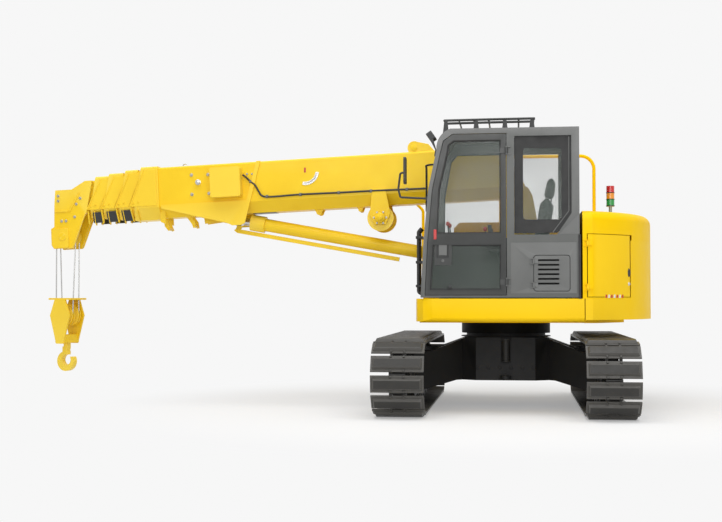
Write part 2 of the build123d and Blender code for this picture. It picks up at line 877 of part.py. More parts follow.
floor_top = cab_floor_z + cab_wall + seat_gap
with BuildPart() as operator_seat:
    with BuildSketch(side(-760)):
        Polygon(
            (-60, 1600), (-90, 1540), (-70, 1500), (360, 1500), (400, 1580), (470, 2060),
            (440, 2130), (400, 2140), (370, 2100), (290, 1640), (250, 1610),
            align=None,
        )
    extrude(amount=230, both=True)
    with BuildSketch(side(-760)):
        Polygon(
            (395, 2120), (430, 2330), (470, 2340), (500, 2300), (480, 2110),
            align=None,
        )
    extrude(amount=120, both=True)
    with BuildSketch(level(floor_top)):
        with Locations((130, -760)):
            Rectangle(360, 340)
    extrude(amount=330)

finish(operator_seat, "operator_seat")

with BuildPart() as cab_consoles:
    for console_y in (-1090, -430):
        with BuildSketch(side(console_y)):
            Polygon(
                (-160, 1600), (-190, 1690), (-150, 1720), (330, 1690), (330, floor_top), (60, floor_top),
                (60, 1560),
                align=None,
            )
        extrude(amount=62, both=True)
        with BuildSketch(side(console_y)):
            Polygon(
                (-150, 1700), (-166, 1850), (-126, 1850), (-120, 1700),
                align=None,
            )
        extrude(amount=18, both=True)

finish(cab_consoles, "cab_consoles")

with BuildPart() as hose_stack:
    for hose_x, hose_y in ((-905, -285), (-905, -237), (-905, -189), (-905, -141)):
        with BuildLine() as stack_path:
            FilletPolyline(
                (slew_x - 872, hose_y, 1180),
                (slew_x + hose_x, hose_y, 1200),
                (slew_x + hose_x, hose_y, 1830),
                (slew_x - 872, hose_y, 1870),
                radius=26,
            )
        with BuildSketch(Plane(origin=(slew_x - 872, hose_y, 1180), z_dir=(-33, 0, 20))):
            Circle(19)
        sweep()
    with BuildSketch(level(1250), level(1500), level(1760)):
        with Locations((-896.5 - seat_gap / 2, -213)):
            Rectangle(73 - seat_gap, 200)
    extrude(amount=26)

finish(hose_stack, "hose_stack")

# ---- boom ----
# each section nests inside the one before it; "lip" is the thickened collar at its front
boom_sections = (
    ("boom_base", -40.0, 4075.0),
    ("boom_section_2", 330.0, 4253.0),
    ("boom_section_3", 400.0, 4441.0),
    ("boom_section_4", 470.0, 4601.0),
)
lip_out = 14.0
lip_lean = 0.20


def section_profile(inset):
    # the boom's cross-section: upright sides above a fold, tapering to a narrow bottom
    half = base_half - inset
    top = base_top - inset
    fold = base_fold + inset * 0.35
    bottom = base_bottom + inset
    bottom_half = base_bottom_half - inset * 0.62
    return (
        (-half + 16, top), (half - 16, top), (half, top - 16), (half, fold),
        (bottom_half, bottom), (-bottom_half, bottom), (-half, fold), (-half, top - 16),
    )


# base section, with its foot, the rod's ears and the bottom rails
with BuildPart() as boom_base:
    with BuildSketch(boom_cut(-60)):
        Polygon(*section_profile(0), align=None)
    extrude(amount=4075 + 60 + 110)
    with BuildSketch(boom_cut(4075 - 190)):
        Polygon(*section_profile(-lip_out), align=None)
    extrude(amount=190 + 110)
    # slanted front face
    with BuildSketch(boom_side(0)):
        Polygon(
            (4075 - (600 - base_top) * lip_lean, 600), (4075 + (base_top + 100) * lip_lean, -100),
            (4700, -100), (4700, 600),
            align=None,
        )
    extrude(amount=400, both=True, mode=Mode.SUBTRACT)
    # sloped rear, lowest at the foot
    with BuildSketch(boom_side(0)):
        Polygon(
            (-150, 700), (240, 700), (-62, 120), (-150, 120),
            align=None,
        )
    extrude(amount=400, both=True, mode=Mode.SUBTRACT)
    with BuildSketch(boom_cut(150)):
        Polygon(*section_profile(section_wall), align=None)
    extrude(amount=4300, mode=Mode.SUBTRACT)
    # foot lug round the pin
    with BuildSketch(boom_side(0)):
        Circle(120)
    extrude(amount=girder_inner - move_gap, both=True)
    with BuildSketch(boom_side(0)):
        Circle(foot_pin_radius + running_gap)
    extrude(amount=400, both=True, mode=Mode.SUBTRACT)
    # ears for the cylinder's rod
    for ear_y in (-base_half - 8, base_half + 8):
        with BuildSketch(boom_side(ear_y)):
            Polygon(
                (2905, 130), (2945, -115), (2985, -134), (3085, -134), (3140, -104), (3860, 92),
                (3860, 130),
                align=None,
            )
            Polygon((2745, 545), (2790, 545), (2990, -115), (2945, -115), align=None)
        extrude(amount=8, both=True)

finish(boom_base, "boom_base")

for row in range(1, 4):
    label, start, end = boom_sections[row]
    inset = nest_step * row
    with BuildPart() as boom_section:
        with BuildSketch(boom_cut(start)):
            Polygon(*section_profile(inset), align=None)
        extrude(amount=end - start + 110)
        with BuildSketch(boom_cut(4075 + 40 + 172 * (row - 1))):
            Polygon(*section_profile(inset - lip_out), align=None)
        extrude(amount=end - (4075 + 40 + 172 * (row - 1)) + 110)
        with BuildSketch(boom_side(0)):
            Polygon(
                (end - (600 - base_top) * lip_lean, 600), (end + (base_top + 100) * lip_lean, -100),
                (end + 600, -100), (end + 600, 600),
                align=None,
            )
        extrude(amount=400, both=True, mode=Mode.SUBTRACT)
        with BuildSketch(boom_cut(start - 10)):
            Polygon(*section_profile(inset + section_wall), align=None)
        extrude(amount=end - start + 600, mode=Mode.SUBTRACT)
        # slide pads round the rear end
        with BuildSketch(boom_cut(start)):
            Polygon(*section_profile(inset - nest_step + section_wall + seat_gap), align=None)
            Polygon(*section_profile(inset + section_wall), align=None, mode=Mode.SUBTRACT)
        extrude(amount=60)
    finish(boom_section, label)

# the innermost section carries the head
with BuildPart() as boom_tip:
    with BuildSketch(boom_cut(540)):
        Polygon(*section_profile(nest_step * 4), align=None)
    extrude(amount=4700 - 540)
    with BuildSketch(boom_cut(530)):
        Polygon(*section_profile(nest_step * 4 + section_wall), align=None)
    extrude(amount=4000, mode=Mode.SUBTRACT)
    with BuildSketch(boom_cut(540)):
        Polygon(*section_profile(nest_step * 3 + section_wall + seat_gap), align=None)
        Polygon(*section_profile(nest_step * 4 + section_wall), align=None, mode=Mode.SUBTRACT)
    extrude(amount=60)
    for plate_y in (-140, 140):
        with BuildSketch(boom_side(plate_y)):
            Polygon(
                (4650, 450), (4730, 450), (4884, 364), (5072, 364), (5088, 200), (5098, -40),
                (5136, -60), (5136, -240), (5110, -280), (4895, -280), (4760, 60), (4725, 100),
                align=None,
            )
        extrude(amount=20, both=True)
    with BuildSketch(boom_side(0)):
        Polygon(
            (4660, 450), (4730, 450), (4884, 364), (5072, 364), (5072, 340), (4880, 340),
            (4720, 425), (4660, 425),
            align=None,
        )
    extrude(amount=150, both=True)
    with BuildSketch(boom_side(0)):
        with Locations((head_centre_s, head_centre_t)):
            Circle(30)
    extrude(amount=165, both=True)

finish(boom_tip, "boom_tip")

with BuildPart() as head_sheaves:
    for sheave_y in (-hoist_gap, hoist_gap):
        with BuildSketch(boom_side(sheave_y)):
            with Locations((head_centre_s, head_centre_t)):
                Circle(fall_half + 22)
                Circle(30 + running_gap, mode=Mode.SUBTRACT)
        extrude(amount=20, both=True)
        with BuildSketch(boom_side(sheave_y)):
            with Locations((head_centre_s, head_centre_t)):
                Circle(fall_half + 30)
                Circle(groove_radius, mode=Mode.SUBTRACT)
        extrude(amount=12, both=True, mode=Mode.SUBTRACT)

finish(head_sheaves, "head_sheaves")

# winch under the boom
winch_s = 1478.0
winch_t = -140.0
winch_plate_y = base_half + seat_gap + 7
with BuildPart() as winch_frame:
    for plate_y in (-winch_plate_y, winch_plate_y):
        with BuildSketch(boom_side(plate_y)):
            Polygon(
                (winch_s - 70, 165), (winch_s + 70, 165), (winch_s + 110, winch_t + 40),
                (winch_s + 60, winch_t - 70), (winch_s - 60, winch_t - 70),
                (winch_s - 110, winch_t + 40),
                align=None,
            )
        extrude(amount=7, both=True)
    with BuildSketch(boom_side(0)):
        with Locations((winch_s, winch_t)):
            Circle(34)
    extrude(amount=225, both=True)

finish(winch_frame, "winch_frame")

with BuildPart() as winch_drum:
    with BuildSketch(boom_side(0)):
        with Locations((winch_s, winch_t)):
            Circle(105)
            Circle(34 + running_gap, mode=Mode.SUBTRACT)
    extrude(amount=168, both=True)
    for flange_y in (-175, 175):
        with BuildSketch(boom_side(flange_y)):
            with Locations((winch_s, winch_t)):
                Circle(140)
                Circle(34 + running_gap, mode=Mode.SUBTRACT)
        extrude(amount=8, both=True)

finish(winch_drum, "winch_drum")

with BuildPart() as boom_side_box:
    with BuildSketch(boom_side(-base_half - seat_gap)):
        with Locations((3120, 330)):
            RectangleRounded(330, 320, 20)
    extrude(amount=-120)

finish(boom_side_box, "boom_side_box")

# luffing cylinder
with BuildPart() as luff_barrel:
    with BuildSketch(cylinder_cut(75)):
        Circle(barrel_radius)
    extrude(amount=cylinder_length - 130 - 75)
    with BuildSketch(cylinder_cut(cylinder_length - 290)):
        Circle(88)
    extrude(amount=160)
    with BuildSketch(cylinder_cut(140)):
        Circle(barrel_bore)
    extrude(amount=cylinder_length - 130 - 140 - 50, mode=Mode.SUBTRACT)
    with BuildSketch(cylinder_cut(cylinder_length)):
        Circle(rod_radius + running_gap)
    extrude(amount=-400, mode=Mode.SUBTRACT)
    with BuildSketch(cylinder_side(0)):
        Circle(85)
    extrude(amount=60, both=True)
    with BuildSketch(cylinder_side(0)):
        Circle(40 + running_gap)
    extrude(amount=90, both=True, mode=Mode.SUBTRACT)

finish(luff_barrel, "luff_barrel")

with BuildPart() as luff_rod:
    with BuildSketch(cylinder_cut(cylinder_length - 50)):
        Circle(rod_radius)
    extrude(amount=-(cylinder_length - 50 - 260))
    with BuildSketch(cylinder_cut(260)):
        Circle(barrel_bore - running_gap)
    extrude(amount=90)
    with BuildSketch(cylinder_side(0)):
        with Locations((cylinder_length, 0)):
            Circle(58)
    extrude(amount=50, both=True)
    with BuildSketch(cylinder_side(0)):
        with Locations((cylinder_length, 0)):
            Circle(32)
    extrude(amount=190, both=True)

finish(luff_rod, "luff_rod")

# hook block hanging from the head
head_x, head_z = boom_point(head_centre_s, head_centre_t)
block_z = 950.0
twist = radians(block_twist)


def block_plane(offset):
    # upright plane of the block's cheeks, turned a little about the ropes
    return Plane(
        origin=(
            slew_x + head_x - offset * sin(twist) * -1,
            offset * cos(twist),
            0,
        ),
        x_dir=(cos(twist), -sin(twist), 0),
        z_dir=(-sin(twist), -cos(twist), 0),
    )


with BuildPart() as hoist_ropes:
    for rope_y in (-hoist_gap, hoist_gap):
        for rope_side in (-1, 1):
            top_point = Vector(slew_x + head_x + rope_side * fall_half, rope_y, head_z)
            low_offset = rope_side * fall_half
            low_point = Vector(
                slew_x + head_x + low_offset * cos(twist) + rope_y * sin(twist),
                -low_offset * sin(twist) + rope_y * cos(twist),
                block_z,
            )
            with BuildSketch(Plane(origin=top_point, z_dir=low_point - top_point)):
                Circle(rope_radius)
            extrude(amount=(low_point - top_point).length)

finish(hoist_ropes, "hoist_ropes")

with BuildPart() as hook_block:
    for cheek_offset in (-130, 130):
        with BuildSketch(block_plane(cheek_offset)):
            Polygon(
                (-70, 1120), (70, 1120), (130, 945), (45, 635), (-45, 635), (-130, 945),
                align=None,
            )
        extrude(amount=11, both=True)
    with BuildSketch(block_plane(0)):
        with Locations((0, 950)):
            Circle(26)
        with Locations((0, 690)):
            Rectangle(110, 90)
        with Locations((0, 1128)):
            Rectangle(300, 20)
    extrude(amount=140, both=True)
    with BuildSketch(block_plane(-hoist_gap), block_plane(hoist_gap)):
        with Locations((0, 1128)):
            Rectangle(262, 60)
    extrude(amount=20, both=True, mode=Mode.SUBTRACT)

finish(hook_block, "hook_block")

with BuildPart() as block_sheaves:
    for sheave_offset in (-hoist_gap, hoist_gap):
        with BuildSketch(block_plane(sheave_offset)):
            with Locations((0, block_z)):
                Circle(fall_half + 16)
                Circle(26 + running_gap, mode=Mode.SUBTRACT)
        extrude(amount=20, both=True)
        with BuildSketch(block_plane(sheave_offset)):
            with Locations((0, block_z)):
                Circle(fall_half + 30)
                Circle(groove_radius, mode=Mode.SUBTRACT)
        extrude(amount=12, both=True, mode=Mode.SUBTRACT)

finish(block_sheaves, "block_sheaves")

with BuildPart() as hook:
    with BuildSketch(block_plane(0)):
        with Locations((0, 610 - seat_gap / 2)):
            Rectangle(50, 70 - seat_gap)
        with Locations((0, 440)):
            Circle(110)
        with Locations((12, 455)):
            Circle(58, mode=Mode.SUBTRACT)
        with Locations((70, 520)):
            Rectangle(90, 60, mode=Mode.SUBTRACT)
        with Locations((-10, 560)):
            Rectangle(60, 80)
    extrude(amount=32, both=True)

finish(hook, "hook")
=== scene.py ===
import math
import bpy
import bmesh
import json
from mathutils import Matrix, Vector


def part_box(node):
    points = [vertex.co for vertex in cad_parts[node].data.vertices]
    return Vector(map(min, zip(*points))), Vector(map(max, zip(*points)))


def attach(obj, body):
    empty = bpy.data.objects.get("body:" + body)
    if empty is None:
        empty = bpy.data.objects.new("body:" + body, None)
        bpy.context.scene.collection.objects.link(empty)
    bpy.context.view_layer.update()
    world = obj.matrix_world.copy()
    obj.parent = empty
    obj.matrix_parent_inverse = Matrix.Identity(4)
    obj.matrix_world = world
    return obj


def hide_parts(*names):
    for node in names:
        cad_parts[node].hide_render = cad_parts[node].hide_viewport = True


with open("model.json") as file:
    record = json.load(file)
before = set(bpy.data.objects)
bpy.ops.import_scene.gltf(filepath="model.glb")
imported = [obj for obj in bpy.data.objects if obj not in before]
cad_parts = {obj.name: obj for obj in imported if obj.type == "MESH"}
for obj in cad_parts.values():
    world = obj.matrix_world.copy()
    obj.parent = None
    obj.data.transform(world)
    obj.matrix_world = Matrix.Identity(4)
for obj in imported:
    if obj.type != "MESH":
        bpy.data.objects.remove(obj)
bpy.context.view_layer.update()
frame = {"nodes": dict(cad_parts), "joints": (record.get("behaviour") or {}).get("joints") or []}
nodes = frame["nodes"]
joints = {joint["name"]: joint for joint in frame["joints"]}
print("crane frame loaded,", len(nodes), "nodes")

# the machine is laid out from its slewing axis and the boom from its foot pin, in millimetres
slewX = joints["slew"]["pos_m"][0]
footPin = joints["boom_luff"]["pos_m"]
boomAxis = joints["telescope_2"]["axis"]
ramPin = joints["luff_barrel_swing"]["pos_m"]
ramAxis = joints["luff_rod_slide"]["axis"]


def at(x, y, z):
    return Vector((slewX + x / 1000, y / 1000, z / 1000))


def onBoom(s, t, y=0.0):
    # s runs out along the boom from its foot pin, t upwards from it
    along = Vector(boomAxis)
    up = Vector((boomAxis[2], 0, -boomAxis[0]))
    base = Vector((footPin[0], 0, footPin[2]))
    return base + along * (s / 1000) + up * (t / 1000) + Vector((0, y / 1000, 0))


def onRam(u, v, y=0.0):
    along = Vector(ramAxis)
    up = Vector((ramAxis[2], 0, -ramAxis[0]))
    base = Vector((ramPin[0], 0, ramPin[2]))
    return base + along * (u / 1000) + up * (v / 1000) + Vector((0, y / 1000, 0))


# finishes

def linkNodes(tree, pairs):
    for start, end in pairs:
        tree.links.new(start, end)


def noiseBand(tree, scale, detail, low, high, coords="Object", stretch=None):
    coord = tree.nodes.new("ShaderNodeTexCoord")
    mapping = tree.nodes.new("ShaderNodeMapping")
    tex = tree.nodes.new("ShaderNodeTexNoise")
    band = tree.nodes.new("ShaderNodeMapRange")
    tex.inputs["Scale"].default_value = scale
    tex.inputs["Detail"].default_value = detail
    if stretch:
        mapping.inputs["Scale"].default_value = stretch
    band.inputs["From Min"].default_value = 0.3
    band.inputs["From Max"].default_value = 0.7
    band.inputs["To Min"].default_value = low
    band.inputs["To Max"].default_value = high
    linkNodes(tree, [
        (coord.outputs[coords], mapping.inputs["Vector"]),
        (mapping.outputs["Vector"], tex.inputs["Vector"]),
        (tex.outputs["Fac"], band.inputs["Value"]),
    ])
    return band.outputs["Result"]


def mixColour(tree, factor, first, second):
    mix = tree.nodes.new("ShaderNodeMix")
    mix.data_type = "RGBA"
    for socket, value in ((mix.inputs[6], first), (mix.inputs[7], second)):
        if isinstance(value, tuple):
            socket.default_value = (*value, 1.0)
        else:
            tree.links.new(value, socket)
    tree.links.new(factor, mix.inputs[0])
    return mix.outputs[2]


def heightMask(tree, low, high):
    # 1 at the low height, 0 at the high one, in the model's own frame
    coord = tree.nodes.new("ShaderNodeTexCoord")
    split = tree.nodes.new("ShaderNodeSeparateXYZ")
    band = tree.nodes.new("ShaderNodeMapRange")
    band.inputs["From Min"].default_value = low
    band.inputs["From Max"].default_value = high
    band.inputs["To Min"].default_value = 1.0
    band.inputs["To Max"].default_value = 0.0
    linkNodes(tree, [(coord.outputs["Object"], split.inputs[0]), (split.outputs[2], band.inputs["Value"])])
    return band.outputs["Result"]


# lighter colour on sharp edges: a painted highlight, on the track and frame steel also wear
def edgeWearAndHighlight(tree, low, high, amount):
    geometry = tree.nodes.new("ShaderNodeNewGeometry")
    band = tree.nodes.new("ShaderNodeMapRange")
    band.inputs["From Min"].default_value = low
    band.inputs["From Max"].default_value = high
    band.inputs["To Max"].default_value = amount
    tree.links.new(geometry.outputs["Pointiness"], band.inputs["Value"])
    return band.outputs["Result"]


def makeFinish(name, look):
    material = bpy.data.materials.new(name)
    material.use_nodes = True
    tree = material.node_tree
    shader = tree.nodes["Principled BSDF"]
    shader.inputs["Metallic"].default_value = look.get("metal", 0.0)
    shader.inputs["Roughness"].default_value = look["rough"]
    shader.inputs["Specular IOR Level"].default_value = look.get("gloss", 0.5)
    shader.inputs["Coat Weight"].default_value = look.get("coat", 0.0)
    shader.inputs["Coat Roughness"].default_value = 0.08
    shader.inputs["Sheen Weight"].default_value = look.get("sheen", 0.0)
    colour = mixColour(
        tree, noiseBand(tree, look.get("patch", 3.0), 4.0, 0.0, 1.0), look["colour"], look["shade"]
    )
    # a tint towards the bottom: lighter dust on the black paint and the track steel, on the yellow paint
    # only darker towards the bottom
    if "lowTint" in look:
        spread = noiseBand(tree, 9.0, 6.0, 0.0, look["lowTint"])
        times = tree.nodes.new("ShaderNodeMath")
        times.operation = "MULTIPLY"
        linkNodes(
            tree, [(spread, times.inputs[0]), (heightMask(tree, *look["lowTintHeights"]), times.inputs[1])],
        )
        colour = mixColour(tree, times.outputs[0], colour, look["lowTintColour"])
    # sharp edges painted lighter: painted highlight, with wear on the steel
    if "edge" in look:
        colour = mixColour(tree, edgeWearAndHighlight(tree, *look["edgeBand"]), colour, look["edge"])
    tree.links.new(colour, shader.inputs["Base Color"])
    spread = look.get("roughSpread", 0.06)
    tree.links.new(
        noiseBand(tree, look.get("smear", 14.0), 5.0, look["rough"] - spread, look["rough"] + spread),
        shader.inputs["Roughness"],
    )
    bump = tree.nodes.new("ShaderNodeBump")
    bump.inputs["Strength"].default_value = look.get("bump", 0.05)
    bump.inputs["Distance"].default_value = look.get("bumpDepth", 0.001)
    grain = noiseBand(tree, look.get("grain", 160.0), 3.0, 0.0, 1.0, stretch=look.get("stretch"))
    linkNodes(tree, [(grain, bump.inputs["Height"]), (bump.outputs["Normal"], shader.inputs["Normal"])])
    material.diffuse_color = (*look["colour"], 1.0)
    return material


def makeGlass(name, look):
    material = bpy.data.materials.new(name)
    material.use_nodes = True
    tree = material.node_tree
    shader = tree.nodes["Principled BSDF"]
    shader.inputs["Roughness"].default_value = look["rough"]
    shader.inputs["Specular IOR Level"].default_value = 0.6
    shader.inputs["Coat Weight"].default_value = 0.2
    tint = mixColour(tree, noiseBand(tree, 1.3, 2.0, 0.0, 1.0), look["colour"], look["shade"])
    tree.links.new(tint, shader.inputs["Base Color"])
    tree.links.new(
        noiseBand(tree, 2.2, 4.0, look["cover"] - 0.03, look["cover"] + 0.03), shader.inputs["Alpha"]
    )
    material.diffuse_color = (*look["colour"], look["cover"])
    return material


# the edge colours are painted highlights on sharp edges, on the steel also wear
finishLooks = {
    "yellowPaint": {
        "colour": (0.96, 0.61, 0.002), "shade": (0.93, 0.575, 0.002), "rough": 0.40, "gloss": 0.06,
        "edge": (0.95, 0.66, 0.05), "edgeBand": (0.54, 0.66, 0.4), "bump": 0.03,
        # the low tint here is only a darker yellow towards the bottom
        "lowTint": 0.03, "lowTintColour": (0.62, 0.42, 0.03), "lowTintHeights": (0.9, 2.0),
    },
    # paler than the house yellow: the same paint with painted light from above on the boom and its gear
    "litBoomPaint": {
        "colour": (0.93, 0.63, 0.018), "shade": (0.88, 0.565, 0.010), "rough": 0.38, "gloss": 0.25,
        "coat": 0.08, "edge": (0.96, 0.74, 0.12), "edgeBand": (0.53, 0.64, 0.5), "bump": 0.05,
        "grain": 90.0,
    },
    "cabGrey": {
        "colour": (0.011, 0.013, 0.011), "shade": (0.008, 0.0095, 0.0085), "rough": 0.40, "coat": 0.1,
        "edge": (0.07, 0.072, 0.07), "edgeBand": (0.52, 0.62, 0.5),
    },
    "panelGrey": {
        "colour": (0.112, 0.115, 0.111), "shade": (0.096, 0.099, 0.096), "rough": 0.42, "coat": 0.1,
        "edge": (0.19, 0.195, 0.19), "edgeBand": (0.52, 0.62, 0.5), "bump": 0.04,
    },
    "lightGrey": {
        "colour": (0.092, 0.096, 0.091), "shade": (0.078, 0.082, 0.078), "rough": 0.40, "coat": 0.1,
        "edge": (0.20, 0.20, 0.20), "edgeBand": (0.52, 0.62, 0.5),
    },
    "blackPaint": {
        "colour": (0.0035, 0.0035, 0.004), "shade": (0.006, 0.006, 0.006), "rough": 0.42, "gloss": 0.2,
        "edge": (0.03, 0.03, 0.03), "edgeBand": (0.52, 0.62, 0.4), "lowTint": 0.03,
        "lowTintColour": (0.10, 0.095, 0.085), "lowTintHeights": (0.2, 0.8),
    },
    "trackSteel": {
        "colour": (0.008, 0.0078, 0.007), "shade": (0.017, 0.0165, 0.015), "rough": 0.44, "gloss": 0.32,
        "edge": (0.10, 0.096, 0.088), "edgeBand": (0.51, 0.62, 0.8), "patch": 7.0, "bump": 0.25,
        "grain": 60.0, "bumpDepth": 0.002, "lowTint": 0.05, "lowTintColour": (0.08, 0.077, 0.068),
        "lowTintHeights": (0.0, 0.9), "roughSpread": 0.12,
    },
    "frameSteel": {
        "colour": (0.009, 0.009, 0.009), "shade": (0.014, 0.0135, 0.013), "rough": 0.48, "gloss": 0.3,
        "edge": (0.05, 0.048, 0.045), "edgeBand": (0.52, 0.62, 0.5), "bump": 0.15, "grain": 70.0,
    },
    "blackPlastic": {
        "colour": (0.020, 0.021, 0.021), "shade": (0.030, 0.031, 0.031), "rough": 0.52, "bump": 0.2,
        "grain": 420.0, "bumpDepth": 0.0006,
    },
    "rubberSeal": {
        "colour": (0.012, 0.012, 0.012), "shade": (0.020, 0.020, 0.020), "rough": 0.62, "bump": 0.1,
        "grain": 300.0,
    },
    "hoseRubber": {
        "colour": (0.012, 0.012, 0.013), "shade": (0.022, 0.022, 0.022), "rough": 0.48, "bump": 0.25,
        "grain": 500.0, "stretch": (1.0, 3.0, 1.0),
    },
    "brightSteel": {
        "colour": (0.62, 0.62, 0.61), "shade": (0.50, 0.50, 0.49), "rough": 0.24, "metal": 1.0,
        "bump": 0.06, "grain": 260.0, "stretch": (0.2, 1.0, 1.0),
    },
    "boltZinc": {
        "colour": (0.48, 0.47, 0.43), "shade": (0.36, 0.35, 0.31), "rough": 0.38, "metal": 0.9,
        "bump": 0.1, "grain": 300.0, "patch": 30.0,
    },
    "engineIron": {
        "colour": (0.11, 0.11, 0.112), "shade": (0.075, 0.074, 0.072), "rough": 0.6, "bump": 0.4,
        "grain": 120.0, "bumpDepth": 0.002,
    },
    "seatCloth": {
        "colour": (0.055, 0.070, 0.064), "shade": (0.040, 0.051, 0.047), "rough": 0.85, "sheen": 0.3,
        "bump": 0.6, "grain": 620.0, "bumpDepth": 0.0012,
    },
    "lampRed": {
        "colour": (0.55, 0.012, 0.010), "shade": (0.45, 0.010, 0.010), "rough": 0.22, "coat": 0.6,
        "bump": 0.08, "grain": 220.0, "patch": 20.0,
    },
    "markRed": {
        "colour": (0.50, 0.012, 0.012), "shade": (0.42, 0.010, 0.010), "rough": 0.35, "bump": 0.1,
        "grain": 900.0,
    },
    "markWhite": {
        "colour": (0.74, 0.74, 0.72), "shade": (0.68, 0.68, 0.66), "rough": 0.35, "bump": 0.1,
        "grain": 900.0,
    },
    "clearLens": {
        "colour": (0.52, 0.52, 0.50), "shade": (0.50, 0.50, 0.49), "rough": 0.14, "coat": 0.8,
        "bump": 0.1, "grain": 200.0, "patch": 40.0,
    },
}
finishes = {name: makeFinish(name, look) for name, look in finishLooks.items()}
towerLook = {
    "red": (0.55, 0.010, 0.008), "amber": (0.80, 0.30, 0.010), "green": (0.010, 0.30, 0.05),
    "post": (0.30, 0.32, 0.30), "joints": (2.069, 2.135, 2.201), "blend": 0.0005,
}


def makeTower(name, look):
    # three lens colours above a pale post, told apart by height
    material = makeFinish(name, {"colour": look["post"], "shade": look["post"], "rough": 0.2, "coat": 0.5,
                                 "bump": 0.15, "grain": 240.0})
    tree = material.node_tree
    shader = tree.nodes["Principled BSDF"]
    colour = shader.inputs["Base Color"].links[0].from_socket
    for joint, tone in zip(look["joints"], ("green", "amber", "red")):
        above = heightMask(tree, joint + look["blend"], joint - look["blend"])
        colour = mixColour(tree, above, colour, look[tone])
    tree.links.new(colour, shader.inputs["Base Color"])
    return material


def makeDeckPaint(name, look):
    # yellow above the split height, black below it
    material = makeFinish(name, look["above"])
    tree = material.node_tree
    shader = tree.nodes["Principled BSDF"]
    colour = shader.inputs["Base Color"].links[0].from_socket
    below = heightMask(tree, look["split"] + 0.001, look["split"])
    tree.links.new(mixColour(tree, below, look["below"], colour), shader.inputs["Base Color"])
    return material


deckLook = {"above": finishLooks["yellowPaint"], "below": (0.006, 0.006, 0.006), "split": 0.890}
paneLook = {"colour": (0.16, 0.20, 0.17), "shade": (0.12, 0.16, 0.14), "cover": 0.15, "rough": 0.04}
finishes["deckPaint"] = makeDeckPaint("deckPaint", deckLook)
finishes["towerLens"] = makeTower("towerLens", towerLook)
finishes["windowGlass"] = makeGlass("windowGlass", paneLook)
print("finishes made,", len(finishes))

nodeFinish = {
    "litBoomPaint": (
        "boom_base", "boom_section_2", "boom_section_3", "boom_section_4", "boom_tip", "boom_side_box",
        "winch_frame", "winch_drum", "head_sheaves", "block_sheaves", "hook_block", "hook", "luff_barrel",
    ),
    "yellowPaint": (
        "engine_hood", "tank_housing", "counterweight", "service_door",
        "side_beam_left", "side_beam_right", "handrail", "front_rail",
    ),
    "deckPaint": ("revolving_frame",),
    "cabGrey": ("cab_door",),
    "panelGrey": ("cab_rear_panel", "vent_hatch"),
    "lightGrey": ("cab_frame", "roof_guard"),
    "blackPaint": ("carbody", "slew_ring"),
    "trackSteel": ("track_left", "track_right"),
    "frameSteel": (
        "track_frame_left", "track_frame_right", "idler_left", "idler_right", "sprocket_left",
        "sprocket_right",
    ),
    "blackPlastic": ("cab_consoles", "mirror_left", "work_lamp"),
    "towerLens": ("signal_tower",),
    "windowGlass": (
        "windscreen", "roof_window", "door_glass", "cab_side_window", "cab_right_window",
        "cab_rear_window",
    ),
    "seatCloth": ("operator_seat",),
    "hoseRubber": ("hose_stack",),
    "brightSteel": ("luff_rod", "hoist_ropes"),
    "engineIron": ("engine_block",),
}
for finishName, members in nodeFinish.items():
    for member in members:
        nodes[member].data.materials.clear()
        nodes[member].data.materials.append(finishes[finishName])
dressed = {member for members in nodeFinish.values() for member in members}
print("nodes without a finish:", sorted(set(nodes) - dressed))

# view, floor and light
viewpoint = {
    "place": at(101.6, -13100, 1120), "turn": 7.19, "raise": 1.81, "lens": 60.98, "sensor": 36.0,
    "farEnd": 200.0,
}
cameraData = bpy.data.cameras.new("yardCamera")
cameraData.lens = viewpoint["lens"]
cameraData.sensor_width = viewpoint["sensor"]
cameraData.sensor_fit = "HORIZONTAL"
cameraData.clip_end = viewpoint["farEnd"]
camera = bpy.data.objects.new("yardCamera", cameraData)
camera.location = viewpoint["place"]
camera.rotation_euler = (math.radians(90 + viewpoint["raise"]), 0, math.radians(viewpoint["turn"]))
bpy.context.scene.collection.objects.link(camera)
bpy.context.scene.camera = camera

floorLook = {"size": 60.0, "colour": 0.82, "far": 0.93, "nearRadius": 2.3, "farRadius": 4.6, "least": 0.34}


